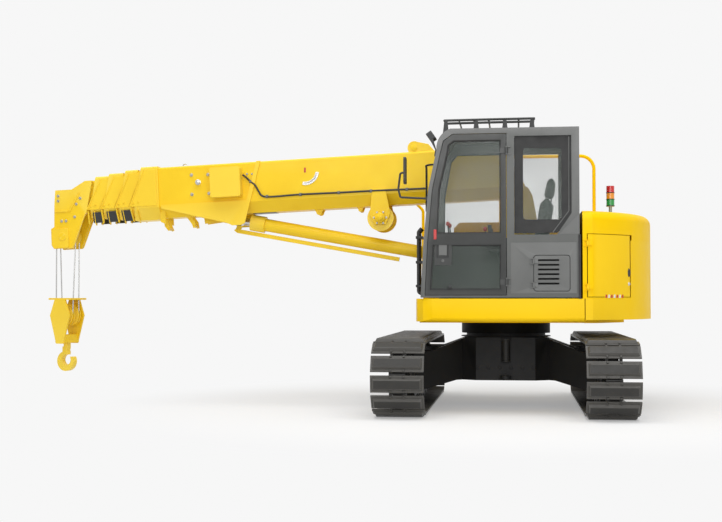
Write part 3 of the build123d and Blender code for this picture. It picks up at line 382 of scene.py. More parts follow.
def makeFloor(look):
    mesh = bpy.data.meshes.new("yardFloor")
    build = bmesh.new()
    bmesh.ops.create_grid(build, x_segments=2, y_segments=2, size=look["size"])
    build.to_mesh(mesh)
    build.free()
    floor = bpy.data.objects.new("yardFloor", mesh)
    floor.location = (slewX, 0, 0)
    bpy.context.scene.collection.objects.link(floor)
    material = bpy.data.materials.new("paleFloor")
    material.use_nodes = True
    tree = material.node_tree
    shader = tree.nodes["Principled BSDF"]
    shader.inputs["Roughness"].default_value = 0.9
    shader.inputs["Specular IOR Level"].default_value = 0.1
    shader.inputs["Base Color"].default_value = (look["colour"], look["colour"], look["colour"], 1.0)
    glow = tree.nodes.new("ShaderNodeEmission")
    glow.inputs["Color"].default_value = (look["far"], look["far"], look["far"], 1.0)
    coord = tree.nodes.new("ShaderNodeTexCoord")
    length = tree.nodes.new("ShaderNodeVectorMath")
    length.operation = "LENGTH"
    fade = tree.nodes.new("ShaderNodeMapRange")
    fade.interpolation_type = "SMOOTHSTEP"
    fade.inputs["From Min"].default_value = look["nearRadius"]
    fade.inputs["From Max"].default_value = look["farRadius"]
    fade.inputs["To Min"].default_value = look["least"]
    path = tree.nodes.new("ShaderNodeLightPath")
    seen = tree.nodes.new("ShaderNodeMath")
    seen.operation = "MAXIMUM"
    product = tree.nodes.new("ShaderNodeMath")
    product.operation = "MULTIPLY"
    mix = tree.nodes.new("ShaderNodeMixShader")
    linkNodes(tree, [
        (coord.outputs["Object"], length.inputs[0]),
        (length.outputs["Value"], fade.inputs["Value"]),
        (path.outputs["Is Camera Ray"], seen.inputs[0]),
        (path.outputs["Is Glossy Ray"], seen.inputs[1]),
        (fade.outputs["Result"], product.inputs[0]),
        (seen.outputs[0], product.inputs[1]),
        (product.outputs[0], mix.inputs["Fac"]),
        (shader.outputs[0], mix.inputs[1]),
        (glow.outputs[0], mix.inputs[2]),
        (mix.outputs[0], tree.nodes["Material Output"].inputs["Surface"]),
    ])
    mesh.materials.append(material)


def makeWorld(look):
    world = bpy.data.worlds.new("plainSky")
    bpy.context.scene.world = world
    world.use_nodes = True
    tree = world.node_tree
    fill = tree.nodes["Background"]
    fill.inputs["Color"].default_value = (1.0, 1.0, 1.0, 1.0)
    fill.inputs["Strength"].default_value = look["fill"]
    shown = tree.nodes.new("ShaderNodeBackground")
    shown.inputs["Color"].default_value = (look["shown"], look["shown"], look["shown"], 1.0)
    shown.inputs["Strength"].default_value = 1.0
    path = tree.nodes.new("ShaderNodeLightPath")
    glossy = tree.nodes.new("ShaderNodeMath")
    glossy.operation = "MAXIMUM"
    through = tree.nodes.new("ShaderNodeMath")
    through.operation = "MAXIMUM"
    mix = tree.nodes.new("ShaderNodeMixShader")
    linkNodes(tree, [
        (path.outputs["Is Camera Ray"], glossy.inputs[0]),
        (path.outputs["Is Glossy Ray"], glossy.inputs[1]),
        (glossy.outputs[0], through.inputs[0]),
        (path.outputs["Is Transmission Ray"], through.inputs[1]),
        (through.outputs[0], mix.inputs["Fac"]),
        (fill.outputs[0], mix.inputs[1]),
        (shown.outputs[0], mix.inputs[2]),
        (mix.outputs[0], tree.nodes["World Output"].inputs["Surface"]),
    ])


def addArea(name, look):
    data = bpy.data.lights.new(name, "AREA")
    data.shape = "RECTANGLE"
    data.size, data.size_y = look["size"]
    data.energy = look["power"]
    lamp = bpy.data.objects.new(name, data)
    lamp.location = look["place"]
    aim = Vector(look["aim"]) - Vector(look["place"])
    lamp.rotation_euler = aim.to_track_quat("-Z", "Y").to_euler()
    bpy.context.scene.collection.objects.link(lamp)


lightLooks = {
    "overheadSoft": {
        "place": (1.5, -4.0, 15.0), "aim": (0.6, 0.0, 1.0), "size": (20.0, 13.0), "power": 2150.0,
    },
    "frontSoft": {"place": (2.5, -12.0, 5.0), "aim": (0.6, 0.0, 1.4), "size": (10.0, 5.0), "power": 440.0},
}
skyLook = {"fill": 0.42, "shown": 0.93}
makeFloor(floorLook)
makeWorld(skyLook)
for lampName, look in lightLooks.items():
    addArea(lampName, look)
bpy.context.scene.view_settings.view_transform = "Standard"
print("view, floor and light set")


# mesh helpers, millimetres unless a Vector comes in

def newShape():
    return {"verts": [], "faces": []}


def addSlab(shape, outline, depth):
    # a flat outline carried along depth and closed at both ends
    first, count = len(shape["verts"]), len(outline)
    shape["verts"] += [Vector(corner) for corner in outline]
    shape["verts"] += [Vector(corner) + Vector(depth) for corner in outline]
    shape["faces"].append([first + step for step in range(count)])
    shape["faces"].append([first + count + step for step in reversed(range(count))])
    for step in range(count):
        after = (step + 1) % count
        shape["faces"].append([first + step, first + after, first + count + after, first + count + step])


def addRings(shape, rings, capped=True):
    # skins a run of equal rings of points
    first, count = len(shape["verts"]), len(rings[0])
    for ring in rings:
        shape["verts"] += ring
    for row in range(len(rings) - 1):
        for step in range(count):
            after = (step + 1) % count
            low = first + row * count
            shape["faces"].append([low + step, low + after, low + count + after, low + count + step])
    if capped:
        shape["faces"].append([first + step for step in range(count)])
        last = first + (len(rings) - 1) * count
        shape["faces"].append([last + step for step in reversed(range(count))])


def squareTo(axis):
    axis = Vector(axis).normalized()
    helper = Vector((0, 0, 1)) if abs(axis.z) < 0.9 else Vector((1, 0, 0))
    first = axis.cross(helper).normalized()
    return first, axis.cross(first).normalized()


def addTurned(shape, base, axis, profile, sides=20):
    # profile is pairs of distance along the axis and radius, in millimetres
    axis = Vector(axis).normalized()
    first, second = squareTo(axis)
    rings = []
    for along, radius in profile:
        middle = Vector(base) + axis * (along / 1000)
        rings.append([
            middle + (first * math.cos(turn) + second * math.sin(turn)) * (max(radius, 0.05) / 1000)
            for turn in (2 * math.pi * side / sides for side in range(sides))
        ])
    addRings(shape, rings)


def addTube(shape, points, radius, sides=10, steps=6):
    # a smooth run through the points
    points = [Vector(point) for point in points]
    line = []
    for place in range(len(points) - 1):
        before = points[max(place - 1, 0)]
        start, end = points[place], points[place + 1]
        beyond = points[min(place + 2, len(points) - 1)]
        for step in range(steps):
            part = step / steps
            line.append(0.5 * (
                2 * start + (end - before) * part + (2 * before - 5 * start + 4 * end - beyond) * part ** 2
                + (3 * start - before - 3 * end + beyond) * part ** 3
            ))
    line.append(points[-1])
    heading = (line[1] - line[0]).normalized()
    first, second = squareTo(heading)
    rings = []
    for place, point in enumerate(line):
        ahead = line[min(place + 1, len(line) - 1)] - line[max(place - 1, 0)]
        turn = heading.rotation_difference(ahead.normalized())
        first, second = turn @ first, turn @ second
        heading = ahead.normalized()
        rings.append([
            point + (first * math.cos(angle) + second * math.sin(angle)) * (radius / 1000)
            for angle in (2 * math.pi * side / sides for side in range(sides))
        ])
    addRings(shape, rings)


def addBolt(shape, place, axis, width, turn=0.3):
    # washer and six-sided head with a chamfered top
    axis = Vector(axis).normalized()
    addTurned(shape, place, axis, [
        (-1.0, width * 0.66), (width * 0.10, width * 0.68), (width * 0.14, width * 0.62),
    ], 14)
    first, second = squareTo(axis)
    corners = [turn + side * math.pi / 3 for side in range(6)]
    rings = []
    for along, radius in ((0.1, 0.56), (0.55, 0.56), (0.66, 0.47)):
        middle = Vector(place) + axis * (along * width / 1000)
        rings.append([
            middle + (first * math.cos(corner) + second * math.sin(corner)) * (radius * width / 1000)
            for corner in corners
        ])
    addRings(shape, rings)


sharpAngle = math.radians(35)


def addPiece(name, shape, look):
    mesh = bpy.data.meshes.new(name)
    mesh.from_pydata([tuple(corner) for corner in shape["verts"]], [], shape["faces"])
    build = bmesh.new()
    build.from_mesh(mesh)
    bmesh.ops.recalc_face_normals(build, faces=build.faces)
    build.to_mesh(mesh)
    build.free()
    mesh.materials.append(finishes[look["finish"]])
    piece = bpy.data.objects.new(name, mesh)
    bpy.context.scene.collection.objects.link(piece)
    if look.get("bevel"):
        trim = piece.modifiers.new("softEdge", "BEVEL")
        trim.width = look["bevel"] / 1000
        trim.segments = 2
        trim.limit_method = "ANGLE"
        trim.angle_limit = sharpAngle
    for face in mesh.polygons:
        face.use_smooth = look.get("smooth", True)
    if look.get("smooth", True):
        mesh.set_sharp_from_angle(angle=sharpAngle)
    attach(piece, look["body"])
    return piece


# thin things in front, and nodes that a piece stands for, are looked through
throughNodes = {"mirror_left", "handrail", "track_left", "track_right", "operator_seat", "roof_guard"}
outwards = Vector((0, -1, 0))
# where a look at the machine's side and at the boom's side starts, and what they fall back on
sideLook = {"start": -2300, "fallback": -1250}
boomLook = {"start": -700, "fallback": -200}


def touch(start, heading):
    # the first CAD face met from start
    graph = bpy.context.evaluated_depsgraph_get()
    best = None
    for node in nodes.values():
        if node.name in throughNodes:
            continue
        met, place, normal = node.ray_cast(Vector(start), Vector(heading), depsgraph=graph)[:3]
        if met and (best is None or (place - Vector(start)).length < (best[0] - Vector(start)).length):
            best = (place, normal)
    return best


def onSide(x, z):
    # the face that the cab side shows at this place
    met = touch(at(x, sideLook["start"], z), (0, 1, 0))
    return met[0] if met else at(x, sideLook["fallback"], z)


def onBoomSide(s, t):
    met = touch(onBoom(s, t, boomLook["start"]), (0, 1, 0))
    return met[0] if met else onBoom(s, t, boomLook["fallback"])


def flatBox(shape, x, z, y, thick):
    # x and z are pairs of ends, y is the face it lies on, and it stands out thick from there
    addSlab(shape, [at(x[0], y, z[0]), at(x[1], y, z[0]), at(x[1], y, z[1]), at(x[0], y, z[1])],
            (0, -thick / 1000, 0))


def boomPlate(shape, outline, y, thick):
    # a flat plate along the boom's side, from y outwards
    addSlab(shape, [onBoom(s, t, y) for s, t in outline], (0, thick / 1000, 0))


def ramPlate(shape, outline, half):
    # a plate below the ram, half of it to each side of the middle
    addSlab(shape, [onRam(u, v, half) for u, v in outline], (0, -2 * half / 1000, 0))


def boomBar(shape, section, side, start, long):
    # a bar that runs along the boom, its section in pairs of width and height
    addSlab(shape, [onBoom(start, t, side * y) for y, t in section], onBoom(long, 0) - onBoom(0, 0))


def arcPoints(centre, radius, angles):
    turns = [math.radians(angle) for angle in angles]
    return [(centre[0] + radius * math.cos(turn), centre[1] + radius * math.sin(turn)) for turn in turns]


def ovalRing(centre, wide, high, sides, y):
    return [
        Vector((centre.x + math.cos(turn) * wide / 1000, y, centre.z + math.sin(turn) * high / 1000))
        for turn in (2 * math.pi * side / sides for side in range(sides))
    ]


def turnedPiece(name, place, look):
    # one form turned about the outward direction
    shape = newShape()
    addTurned(shape, place, outwards, look["profile"], look["sides"])
    addPiece(name, shape, look)


def platePiece(name, look):
    # one flat plate on the machine's side, as high as the face behind its middle
    shape = newShape()
    face = onSide(*look["middle"]).y * 1000
    flatBox(shape, look["x"], look["z"], face, look["thick"])
    addPiece(name, shape, look)


def paneLoops(nodeName, outward):
    # the outlines of a pane's outer faces
    mesh = nodes[nodeName].data
    outward = Vector(outward)
    build = bmesh.new()
    build.from_mesh(mesh)
    bmesh.ops.remove_doubles(build, verts=build.verts, dist=0.00001)
    faces = {face for face in build.faces if face.normal.dot(outward) > 0.9}
    links = {}
    for edge in build.edges:
        if sum(face in faces for face in edge.link_faces) == 1:
            first, second = edge.verts
            links.setdefault(first.index, []).append(second.index)
            links.setdefault(second.index, []).append(first.index)
    build.verts.ensure_lookup_table()
    loops, used = [], set()
    for start in links:
        if start in used:
            continue
        loop, current = [start], start
        used.add(start)
        while True:
            onward = [other for other in links[current] if other not in used]
            if not onward:
                break
            current = onward[0]
            used.add(current)
            loop.append(current)
        if len(loop) > 3:
            loops.append([build.verts[index].co.copy() for index in loop])
    build.free()
    return loops


def addSeal(shape, loop, outward, wide, proud):
    # a flat lip round a pane, inside its outline
    outward = Vector(outward)
    centre = sum(loop, Vector()) / len(loop)
    rings = [[], [], [], []]
    count = len(loop)
    for place, corner in enumerate(loop):
        before = (corner - loop[place - 1]).normalized()
        after = (loop[(place + 1) % count] - corner).normalized()
        inward = outward.cross(before + after)
        if inward.length < 0.001:
            inward = centre - corner
        inward = inward.normalized()
        if inward.dot(centre - corner) < 0:
            inward = -inward
        for ring, (reach, rise) in enumerate(((0, -0.3), (0, 1.0), (0.6, 1.0), (1.0, -0.3))):
            rings[ring].append(corner + inward * (reach * wide / 1000) + outward * (rise * proud / 1000))
    first = len(shape["verts"])
    for ring in rings:
        shape["verts"] += ring
    for row in range(4):
        for step in range(count):
            after = (step + 1) % count
            other = (row + 1) % 4
            shape["faces"].append([
                first + row * count + step, first + row * count + after,
                first + other * count + after, first + other * count + step,
            ])


# tracks: links, plates, tapered pads and their bolts
trackLook = {
    "finish": "trackSteel", "body": "undercarriage", "count": 45, "phase": 0.385, "chain": 297.0,
    "end": 1423.0, "axle": 377.0, "middle": 995.0, "wide": 500, "plate": (162, 27, 47),
    "pad": (112, 47, 80), "padTaper": 14, "link": (84, 27, 26, 62),
    "bolt": {"head": 20, "along": 69, "across": 62, "rise": 46.5},
}


def trackStations(look, sign):
    # where each shoe sits on the loop: its foot, its outward and its forward heading
    straight, arc = 2 * look["end"], math.pi * look["chain"]
    loop = 2 * straight + 2 * arc
    for number in range(look["count"]):
        run = (number + look["phase"] * (1 + sign)) * loop / look["count"]
        if run < straight:
            foot, lean = (-look["end"] + run, look["chain"]), 0.0
        elif run < straight + arc:
            lean = (run - straight) / look["chain"]
            foot = (look["end"] + look["chain"] * math.sin(lean), look["chain"] * math.cos(lean))
        elif run < 2 * straight + arc:
            lean, foot = math.pi, (look["end"] - (run - straight - arc), -look["chain"])
        else:
            lean = math.pi + (run - 2 * straight - arc) / look["chain"]
            foot = (-look["end"] + look["chain"] * math.sin(lean), look["chain"] * math.cos(lean))
        outward = Vector((0, math.sin(lean), math.cos(lean)))
        along = Vector((0, math.cos(lean), -math.sin(lean)))
        yield number, at(sign * look["middle"], foot[0], look["axle"] + foot[1]), outward, along


def makeTrack(name, sign, look, node):
    plates, pads, bolts, links = newShape(), newShape(), newShape(), newShape()
    right = Vector((1, 0, 0))
    half = look["wide"] / 2
    bolt = look["bolt"]
    for number, foot, outward, along in trackStations(look, sign):
        def spot(x, run, rise):
            return foot + right * (x / 1000) + along * (run / 1000) + outward * (rise / 1000)
        long, low, high = look["plate"]
        reach = long / 2
        profile = [(-reach, low + 6), (-reach + 8, low), (reach - 8, low), (reach, low + 6),
                   (reach, high - 3), (reach - 4, high), (-reach + 4, high), (-reach, high - 3)]
        addSlab(plates, [spot(-half, run, rise) for run, rise in profile], right * (look["wide"] / 1000))
        base, low, high = look["pad"]
        rings = []
        for rise, inset in (
            (low - 1, 0), (low + 3, 0), (high - 5, look["padTaper"] - 3), (high - 1, look["padTaper"] + 2),
            (high, look["padTaper"] + 6),
        ):
            x, run = half - 18 - inset, base / 2 - inset
            rings.append([spot(sx * x, sy * run, rise) for sx, sy in ((-1, -1), (1, -1), (1, 1), (-1, 1))])
        addRings(pads, rings)
        for side in (-1, 1):
            for edge in (-1, 1):
                place = spot(side * bolt["across"], edge * bolt["along"], bolt["rise"])
                addBolt(bolts, place, outward, bolt["head"], 0.2 * number)
        reach, deep, thick, offset = look["link"]
        outline = [
            (-reach, -8), (-reach + 14, -deep), (-18, -deep), (-8, -deep + 5), (8, -deep + 5), (18, -deep),
            (reach - 14, -deep), (reach, -8), (reach, 12), (reach - 12, deep), (-reach + 12, deep),
            (-reach, 12),
        ]
        for side in (-1, 1):
            shift = offset + (3 if number % 2 else -3)
            addSlab(
                links, [spot(side * shift - thick / 2, run, rise) for run, rise in outline],
                right * (thick / 1000),
            )
        addTurned(
            links, spot(-offset - 16, reach - 4, 0), right,
            [(0, 15), (3, 18), (2 * offset + 29, 18), (2 * offset + 32, 15)], 12,
        )
    track = addPiece("trackPlates" + name, plates, {**look, "smooth": False})
    addPiece("trackPads" + name, pads, {**look, "smooth": False})
    addPiece("trackBolts" + name, bolts, look)
    addPiece("trackLinks" + name, links, {**look, "finish": "frameSteel", "smooth": False})
    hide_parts(node)


makeTrack("Left", 1, trackLook, "track_left")
makeTrack("Right", -1, trackLook, "track_right")
print("tracks built")

# slewing ring bolts, in a circle under the deck
ringBolts = {"finish": "boltZinc", "body": "undercarriage", "count": 36, "head": 24}
slewLow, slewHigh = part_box("slew_ring")
ringShape = newShape()
ringRadius = (slewHigh[0] - slewLow[0]) / 2 - 0.028
for number in range(ringBolts["count"]):
    turn = 2 * math.pi * number / ringBolts["count"]
    spot = Vector((slewX + ringRadius * math.cos(turn), ringRadius * math.sin(turn), slewLow[2] - 0.3))
    met = nodes["slew_ring"].ray_cast(spot, Vector((0, 0, 1)))
    if met[0]:
        addBolt(ringShape, met[1], (0, 0, -1), ringBolts["head"], turn)
if ringShape["verts"]:
    addPiece("slewRingBolts", ringShape, ringBolts)

# carbody bolts along the plates between the tracks
carbodyBolts = {
    "finish": "blackPaint", "body": "undercarriage", "head": 26,
    "spots": [(-400 + 114 * place, 430) for place in range(8)]
    + [(-30, 560), (30, 560), (-30, 690), (30, 690)],
}
carbodyShape = newShape()
for x, z in carbodyBolts["spots"]:
    met = touch(at(x, sideLook["start"], z), (0, 1, 0))
    if met and met[0].y < -0.5 and abs(met[1].y) > 0.8:
        addBolt(carbodyShape, met[0], met[1], carbodyBolts["head"])
if carbodyShape["verts"]:
    addPiece("carbodyBolts", carbodyShape, carbodyBolts)

# rubber lips round the panes
paneSeals = {
    "finish": "rubberSeal", "wide": 17, "proud": 2.5,
    "panes": (
        ("door_glass", (0, -1, 0), "cab_door"), ("cab_right_window", (0, 1, 0), "upper"),
        ("cab_rear_window", (1, 0, 0), "upper"), ("roof_window", (0, 0, 1), "upper"),
    ),
}
for paneName, outward, body in paneSeals["panes"]:
    sealShape = newShape()
    for loop in paneLoops(paneName, outward):
        addSeal(sealShape, loop, outward, paneSeals["wide"], paneSeals["proud"])
    if sealShape["verts"]:
        addPiece("seal_" + paneName, sealShape, {**paneSeals, "body": body})

# blackened border of the rear side pane
paneBorder = {
    "finish": "rubberSeal", "body": "upper", "thick": 1.2, "centre": (362, 2236),
    "outer": [(96, 2720), (96, 1762), (503, 1762), (660, 1960), (700, 2010), (700, 2720)],
    "inner": [
        (180, 2560), (180, 1911), (200, 1891), (525, 1891), (545, 1911), (545, 2560), (525, 2581),
        (200, 2581),
    ],
}


def outlinePoint(outline, centre, turn):
    # where a line from the centre leaves the outline
    heading = (math.cos(turn), math.sin(turn))
    best = None
    for place, (x0, z0) in enumerate(outline):
        x1, z1 = outline[(place + 1) % len(outline)]
        edge = (x1 - x0, z1 - z0)
        cross = heading[0] * edge[1] - heading[1] * edge[0]
        if abs(cross) < 1e-9:
            continue
        offset = (x0 - centre[0], z0 - centre[1])
        far = (offset[0] * edge[1] - offset[1] * edge[0]) / cross
        part = (offset[0] * heading[1] - offset[1] * heading[0]) / cross
        if far > 0 and -1e-6 <= part <= 1 + 1e-6:
            best = far if best is None else max(best, far)
    return (centre[0] + heading[0] * best, centre[1] + heading[1] * best)


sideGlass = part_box("cab_side_window")
borderY = sideGlass[0][1] * 1000
centre = paneBorder["centre"]
turns = sorted({
    math.atan2(z - centre[1], x - centre[0]) for x, z in paneBorder["outer"] + paneBorder["inner"]
} | {math.radians(angle) for angle in range(-179, 180, 8)})
borderRings = []
for outline, y in (("outer", borderY), ("outer", borderY - paneBorder["thick"]),
                   ("inner", borderY - paneBorder["thick"]), ("inner", borderY)):
    borderRings.append([
        at(x, y, z)
        for x, z in (outlinePoint(paneBorder[outline], centre, turn) for turn in turns)
    ])
borderShape = newShape()
addRings(borderShape, borderRings + [borderRings[0]], capped=False)
addPiece("sidePaneBorder", borderShape, {**paneBorder, "smooth": False})

# painted highlight: a pale line along the pane's seal where light catches it, and the corner panel beside
# it
sealHighlight = {
    "finish": "lightGrey", "body": "upper", "radius": 5,
    "upright": [(617, 2690), (616, 2330), (615, 1972)],
    "slope": [(615, 1972), (540, 1871), (462, 1768)],
}
highlightShape = newShape()
for run in ("upright", "slope"):
    addTube(highlightShape, [at(x, borderY - 2.5, z) for x, z in sealHighlight[run]], sealHighlight["radius"], 8, 2)
addPiece("sidePaneHighlight", highlightShape, sealHighlight)
cornerPanel = {
    "finish": "panelGrey", "body": "upper", "bevel": 1.5,
    "outline": [(523, 1749), (712, 1945), (712, 1749)], "middle": (650, 1800), "thick": 2.5,
}
panelShape = newShape()
panelY = onSide(*cornerPanel["middle"]).y * 1000 + 0.5
panelDepth = (0, -cornerPanel["thick"] / 1000, 0)
addSlab(panelShape, [at(x, panelY, z) for x, z in cornerPanel["outline"]], panelDepth)
addPiece("cabCornerPanel", panelShape, cornerPanel)

# rubber joint between cab and house
houseSeal = {
    "finish": "rubberSeal", "body": "upper", "bevel": 3, "x": (702, 726), "z": (1128, 1745),
    "middle": (714, 1500), "thick": 5,
}
platePiece("cabHouseSeal", houseSeal)

# door handle, lock and reflector
doorHandle = {
    "finish": "blackPlastic", "body": "cab_door", "bevel": 3, "lock": (-595, 1497),
    "plate": ((-678, -508), (1452, 1690)), "paddle": ((-632, -556), (1550, 1662)),
    "rim": (
        ((-655, -645), (1530, 1675)), ((-550, -540), (1530, 1675)), ((-655, -540), (1530, 1540)),
        ((-655, -540), (1665, 1675)),
    ),
    "profile": [(0, 15), (5, 15), (7, 12), (7.2, 8), (5.5, 7), (5.4, 0)],
}
lockX, lockZ = doorHandle["lock"]
handleY = onSide(lockX, 1480).y * 1000
plateShape, cupShape, paddleShape = newShape(), newShape(), newShape()
flatBox(plateShape, *doorHandle["plate"], handleY, 3)
for x, z in doorHandle["rim"]:
    flatBox(cupShape, x, z, handleY - 3, 5)
flatBox(paddleShape, *doorHandle["paddle"], handleY - 3, 9)
addTurned(paddleShape, at(lockX, handleY - 2, lockZ), outwards, doorHandle["profile"], 18)
addPiece("doorHandlePlate", plateShape, {**doorHandle, "finish": "cabGrey"})
addPiece("doorHandleCup", cupShape, doorHandle)
addPiece("doorHandlePaddle", paddleShape, {**doorHandle, "finish": "panelGrey"})
doorKnob = {
    "finish": "blackPlastic", "body": "cab_door", "place": (-525, 1242), "sides": 18,
    "profile": [(-1, 17), (6, 17), (9, 12), (20, 11), (26, 18), (34, 17), (37, 8), (37.5, 0)],
}
turnedPiece("doorKnob", onSide(*doorKnob["place"]), doorKnob)
redReflector = {
    "finish": "lampRed", "body": "cab_door", "bevel": 2, "x": (-683, -655), "z": (1705, 1800),
    "middle": (-669, 1750), "thick": 4,
}
platePiece("doorReflector", redReflector)
print("cab side dressed")

# grab bar on the front pillar, wiper on the windscreen
grabBar = {
    "finish": "blackPaint", "body": "upper", "radius": 10, "y": -1.19, "low": 1.98, "high": 2.44,
    "away": 0.032, "bend": (0.012, 0.06), "sunk": 0.002,
}


def frontFace(y, z):
    # the face that the machine's front shows at this place
    return touch(Vector((-3.0, y, z)), (1, 0, 0))


grabShape = newShape()
pillar = frontFace(grabBar["y"], 2.25)
if pillar:
    barX, y = pillar[0].x - grabBar["away"], grabBar["y"]
    low, high = grabBar["low"], grabBar["high"]
    near, far = grabBar["bend"]
    lowFoot, highFoot = (frontFace(y, z)[0].x + grabBar["sunk"] for z in (low, high))
    addTube(grabShape, [
        (lowFoot, y, low), (barX, y, low + near), (barX, y, low + far),
        (barX, y, high - far), (barX, y, high - near), (highFoot, y, high),
    ], grabBar["radius"], 12, 6)
    addPiece("frontGrabBar", grabShape, grabBar)
wiperLook = {
    "finish": "blackPlastic", "body": "upper", "bevel": 1, "arm": 6, "blade": 7, "lift": 0.012,
    "spots": ((-0.86, 1.62), (-0.74, 2.10), (-0.74, 1.74), (-0.74, 2.42)),
}
wiperShape = newShape()
wiperLift = Vector((-wiperLook["lift"], 0, 0))
wiperSpots = []
for y, z in wiperLook["spots"]:
    met = frontFace(y, z)
    wiperSpots.append(met[0] + wiperLift if met else Vector((-0.9 + slewX, y, z)))
pivot, armEnd, bladeLow, bladeHigh = wiperSpots
addTube(wiperShape, [
    pivot, pivot.lerp(armEnd, 0.5) + wiperLift, armEnd + Vector((-0.008, 0, 0)),
], wiperLook["arm"], 8, 4)
addTube(wiperShape, [bladeLow, bladeLow.lerp(bladeHigh, 0.5), bladeHigh], wiperLook["blade"], 8, 6)
addTurned(
    wiperShape, pivot + Vector((0.014, 0, 0)), (-1, 0, 0), [(0, 16), (16, 15), (20, 9), (21, 0)], 16,
)
addPiece("windscreenWiper", wiperShape, wiperLook)

# roof fittings
roofKnobs = {"finish": "blackPlastic", "body": "upper", "bumps": ((472, 22, 16), (638, 19, 14))}
roofShape = newShape()
cabNode = nodes["cab_frame"]
for x, radius, high in roofKnobs["bumps"]:
    met = touch(at(x, -900, 3100), (0, 0, -1))
    if met:
        addTurned(
            roofShape, met[0], (0, 0, 1),
            [(-1, radius), (high * 0.5, radius), (high, radius * 0.6), (high + 1, 0)], 18,
        )
guardLow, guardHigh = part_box("roof_guard")
addTurned(
    roofShape, Vector((guardHigh[0] - 0.004, guardLow[1] + 0.020, guardHigh[2] - 0.014)), (1, 0, 0),
    [(-14, 13), (0, 13), (3, 10), (3.5, 0)], 16,
)
addPiece("roofKnobs", roofShape, roofKnobs)

# roof guard: a hoop with bars on short feet
guardFrame = {
    "finish": "cabGrey", "body": "upper", "radius": 12, "bars": 6, "lift": 0.013, "drop": 0.030,
    "inset": 0.014, "feet": (0.02, 0.36, 0.68, 0.98), "footHalf": 0.016, "footBase": 0.028,
}
hoopShape, footShape = newShape(), newShape()
guardTop = guardHigh[2] - guardFrame["lift"]
inset, footHalf, footBase = guardFrame["inset"], guardFrame["footHalf"], guardFrame["footBase"]
x0, y0 = guardLow[0] + inset, guardLow[1] + inset
x1, y1 = guardHigh[0] - inset, guardHigh[1] - inset
for z in (guardTop, guardTop - guardFrame["drop"]):
    for y in (y0, y1):
        addTube(
            hoopShape, [(x0, y, z - 0.006), ((x0 + x1) / 2, y, z - 0.002), (x1, y, z)],
            guardFrame["radius"], 10, 6,
        )
for part in range(guardFrame["bars"] + 1):
    x = x0 + (x1 - x0) * part / guardFrame["bars"]
    addTube(
        hoopShape,
        [(x, y0, guardTop - 0.005), (x, (y0 + y1) / 2, guardTop - 0.003), (x, y1, guardTop - 0.005)],
        guardFrame["radius"] - 3, 10, 4,
    )
for part in guardFrame["feet"]:
    x = x0 + (x1 - x0) * part
    for y in (y0, y1):
        met = cabNode.ray_cast(Vector((x, y, 3.2)), Vector((0, 0, -1)))
        foot = met[1].z if met[0] else guardLow[2]
        addSlab(footShape, [
            (x + half, y - footHalf, z)
            for half, z in ((-footBase, foot - 0.001), (footBase, foot - 0.001),
                            (footHalf, guardTop - 0.012), (-footHalf, guardTop - 0.012))
        ], (0, 2 * footHalf, 0))
        addTurned(footShape, Vector((x, y, foot)), (0, 0, 1), [(-1, 30), (7, 30), (9, 26)], 16)
hoop = addPiece("roofGuardHoop", hoopShape, guardFrame)
addPiece("roofGuardFeet", footShape, {**guardFrame, "finish": "blackPlastic", "bevel": 1.5})
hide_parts("roof_guard")
print("cab front and roof dressed")

# tail: latch, lens and marking strip
tailLatch = {
    "finish": "blackPlastic", "body": "service_door", "bevel": 2, "place": (1202, 1383),
    "ovals": ((19, 42), (12, 30)), "thick": 0.006,
}
latchSpot = onSide(*tailLatch["place"])
latchShape = newShape()
for layer, (wide, high) in enumerate(tailLatch["ovals"]):
    y = latchSpot.y + 0.001 - layer * tailLatch["thick"]
    addSlab(latchShape, ovalRing(latchSpot, wide, high, 24, y), (0, -tailLatch["thick"], 0))
addPiece("tailLatch", latchShape, tailLatch)
tailLens = {
    "finish": "clearLens", "body": "service_door", "place": (1202, 1273), "sides": 20,
    "profile": [(-1, 17), (3, 17), (7, 13), (9, 6), (9.5, 0)],
}
turnedPiece("tailLens", onSide(*tailLens["place"]), tailLens)
markingStrip = {
    "body": "service_door", "thick": 0.8, "start": 948, "end": 1144, "low": 1137, "high": 1168, "fields": 7,
}
segment = (markingStrip["end"] - markingStrip["start"]) / markingStrip["fields"]
for tone, first in (("markRed", 0), ("markWhite", 1)):
    stripShape = newShape()
    for number in range(first, markingStrip["fields"], 2):
        x0 = markingStrip["start"] + number * segment
        y = onSide(x0 + segment / 2, 1152).y * 1000
        flatBox(
            stripShape, (x0, x0 + segment), (markingStrip["low"], markingStrip["high"]), y + 0.2,
            markingStrip["thick"],
        )
    addPiece("markingStrip" + tone[4:], stripShape, {**markingStrip, "finish": tone, "smooth": False})

# signal tower rings
towerRings = {"finish": "blackPlastic", "body": "upper", "profile": [(0, 41), (1, 43), (7, 43), (8, 41)]}
towerLow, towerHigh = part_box("signal_tower")
towerMiddle = Vector(((towerLow[0] + towerHigh[0]) / 2, (towerLow[1] + towerHigh[1]) / 2, 0))
towerShape = newShape()
for z in towerLook["joints"]:
    addTurned(towerShape, towerMiddle + Vector((0, 0, z - 0.004)), (0, 0, 1), towerRings["profile"], 28)
addPiece("towerRings", towerShape, towerRings)
print("tail dressed")

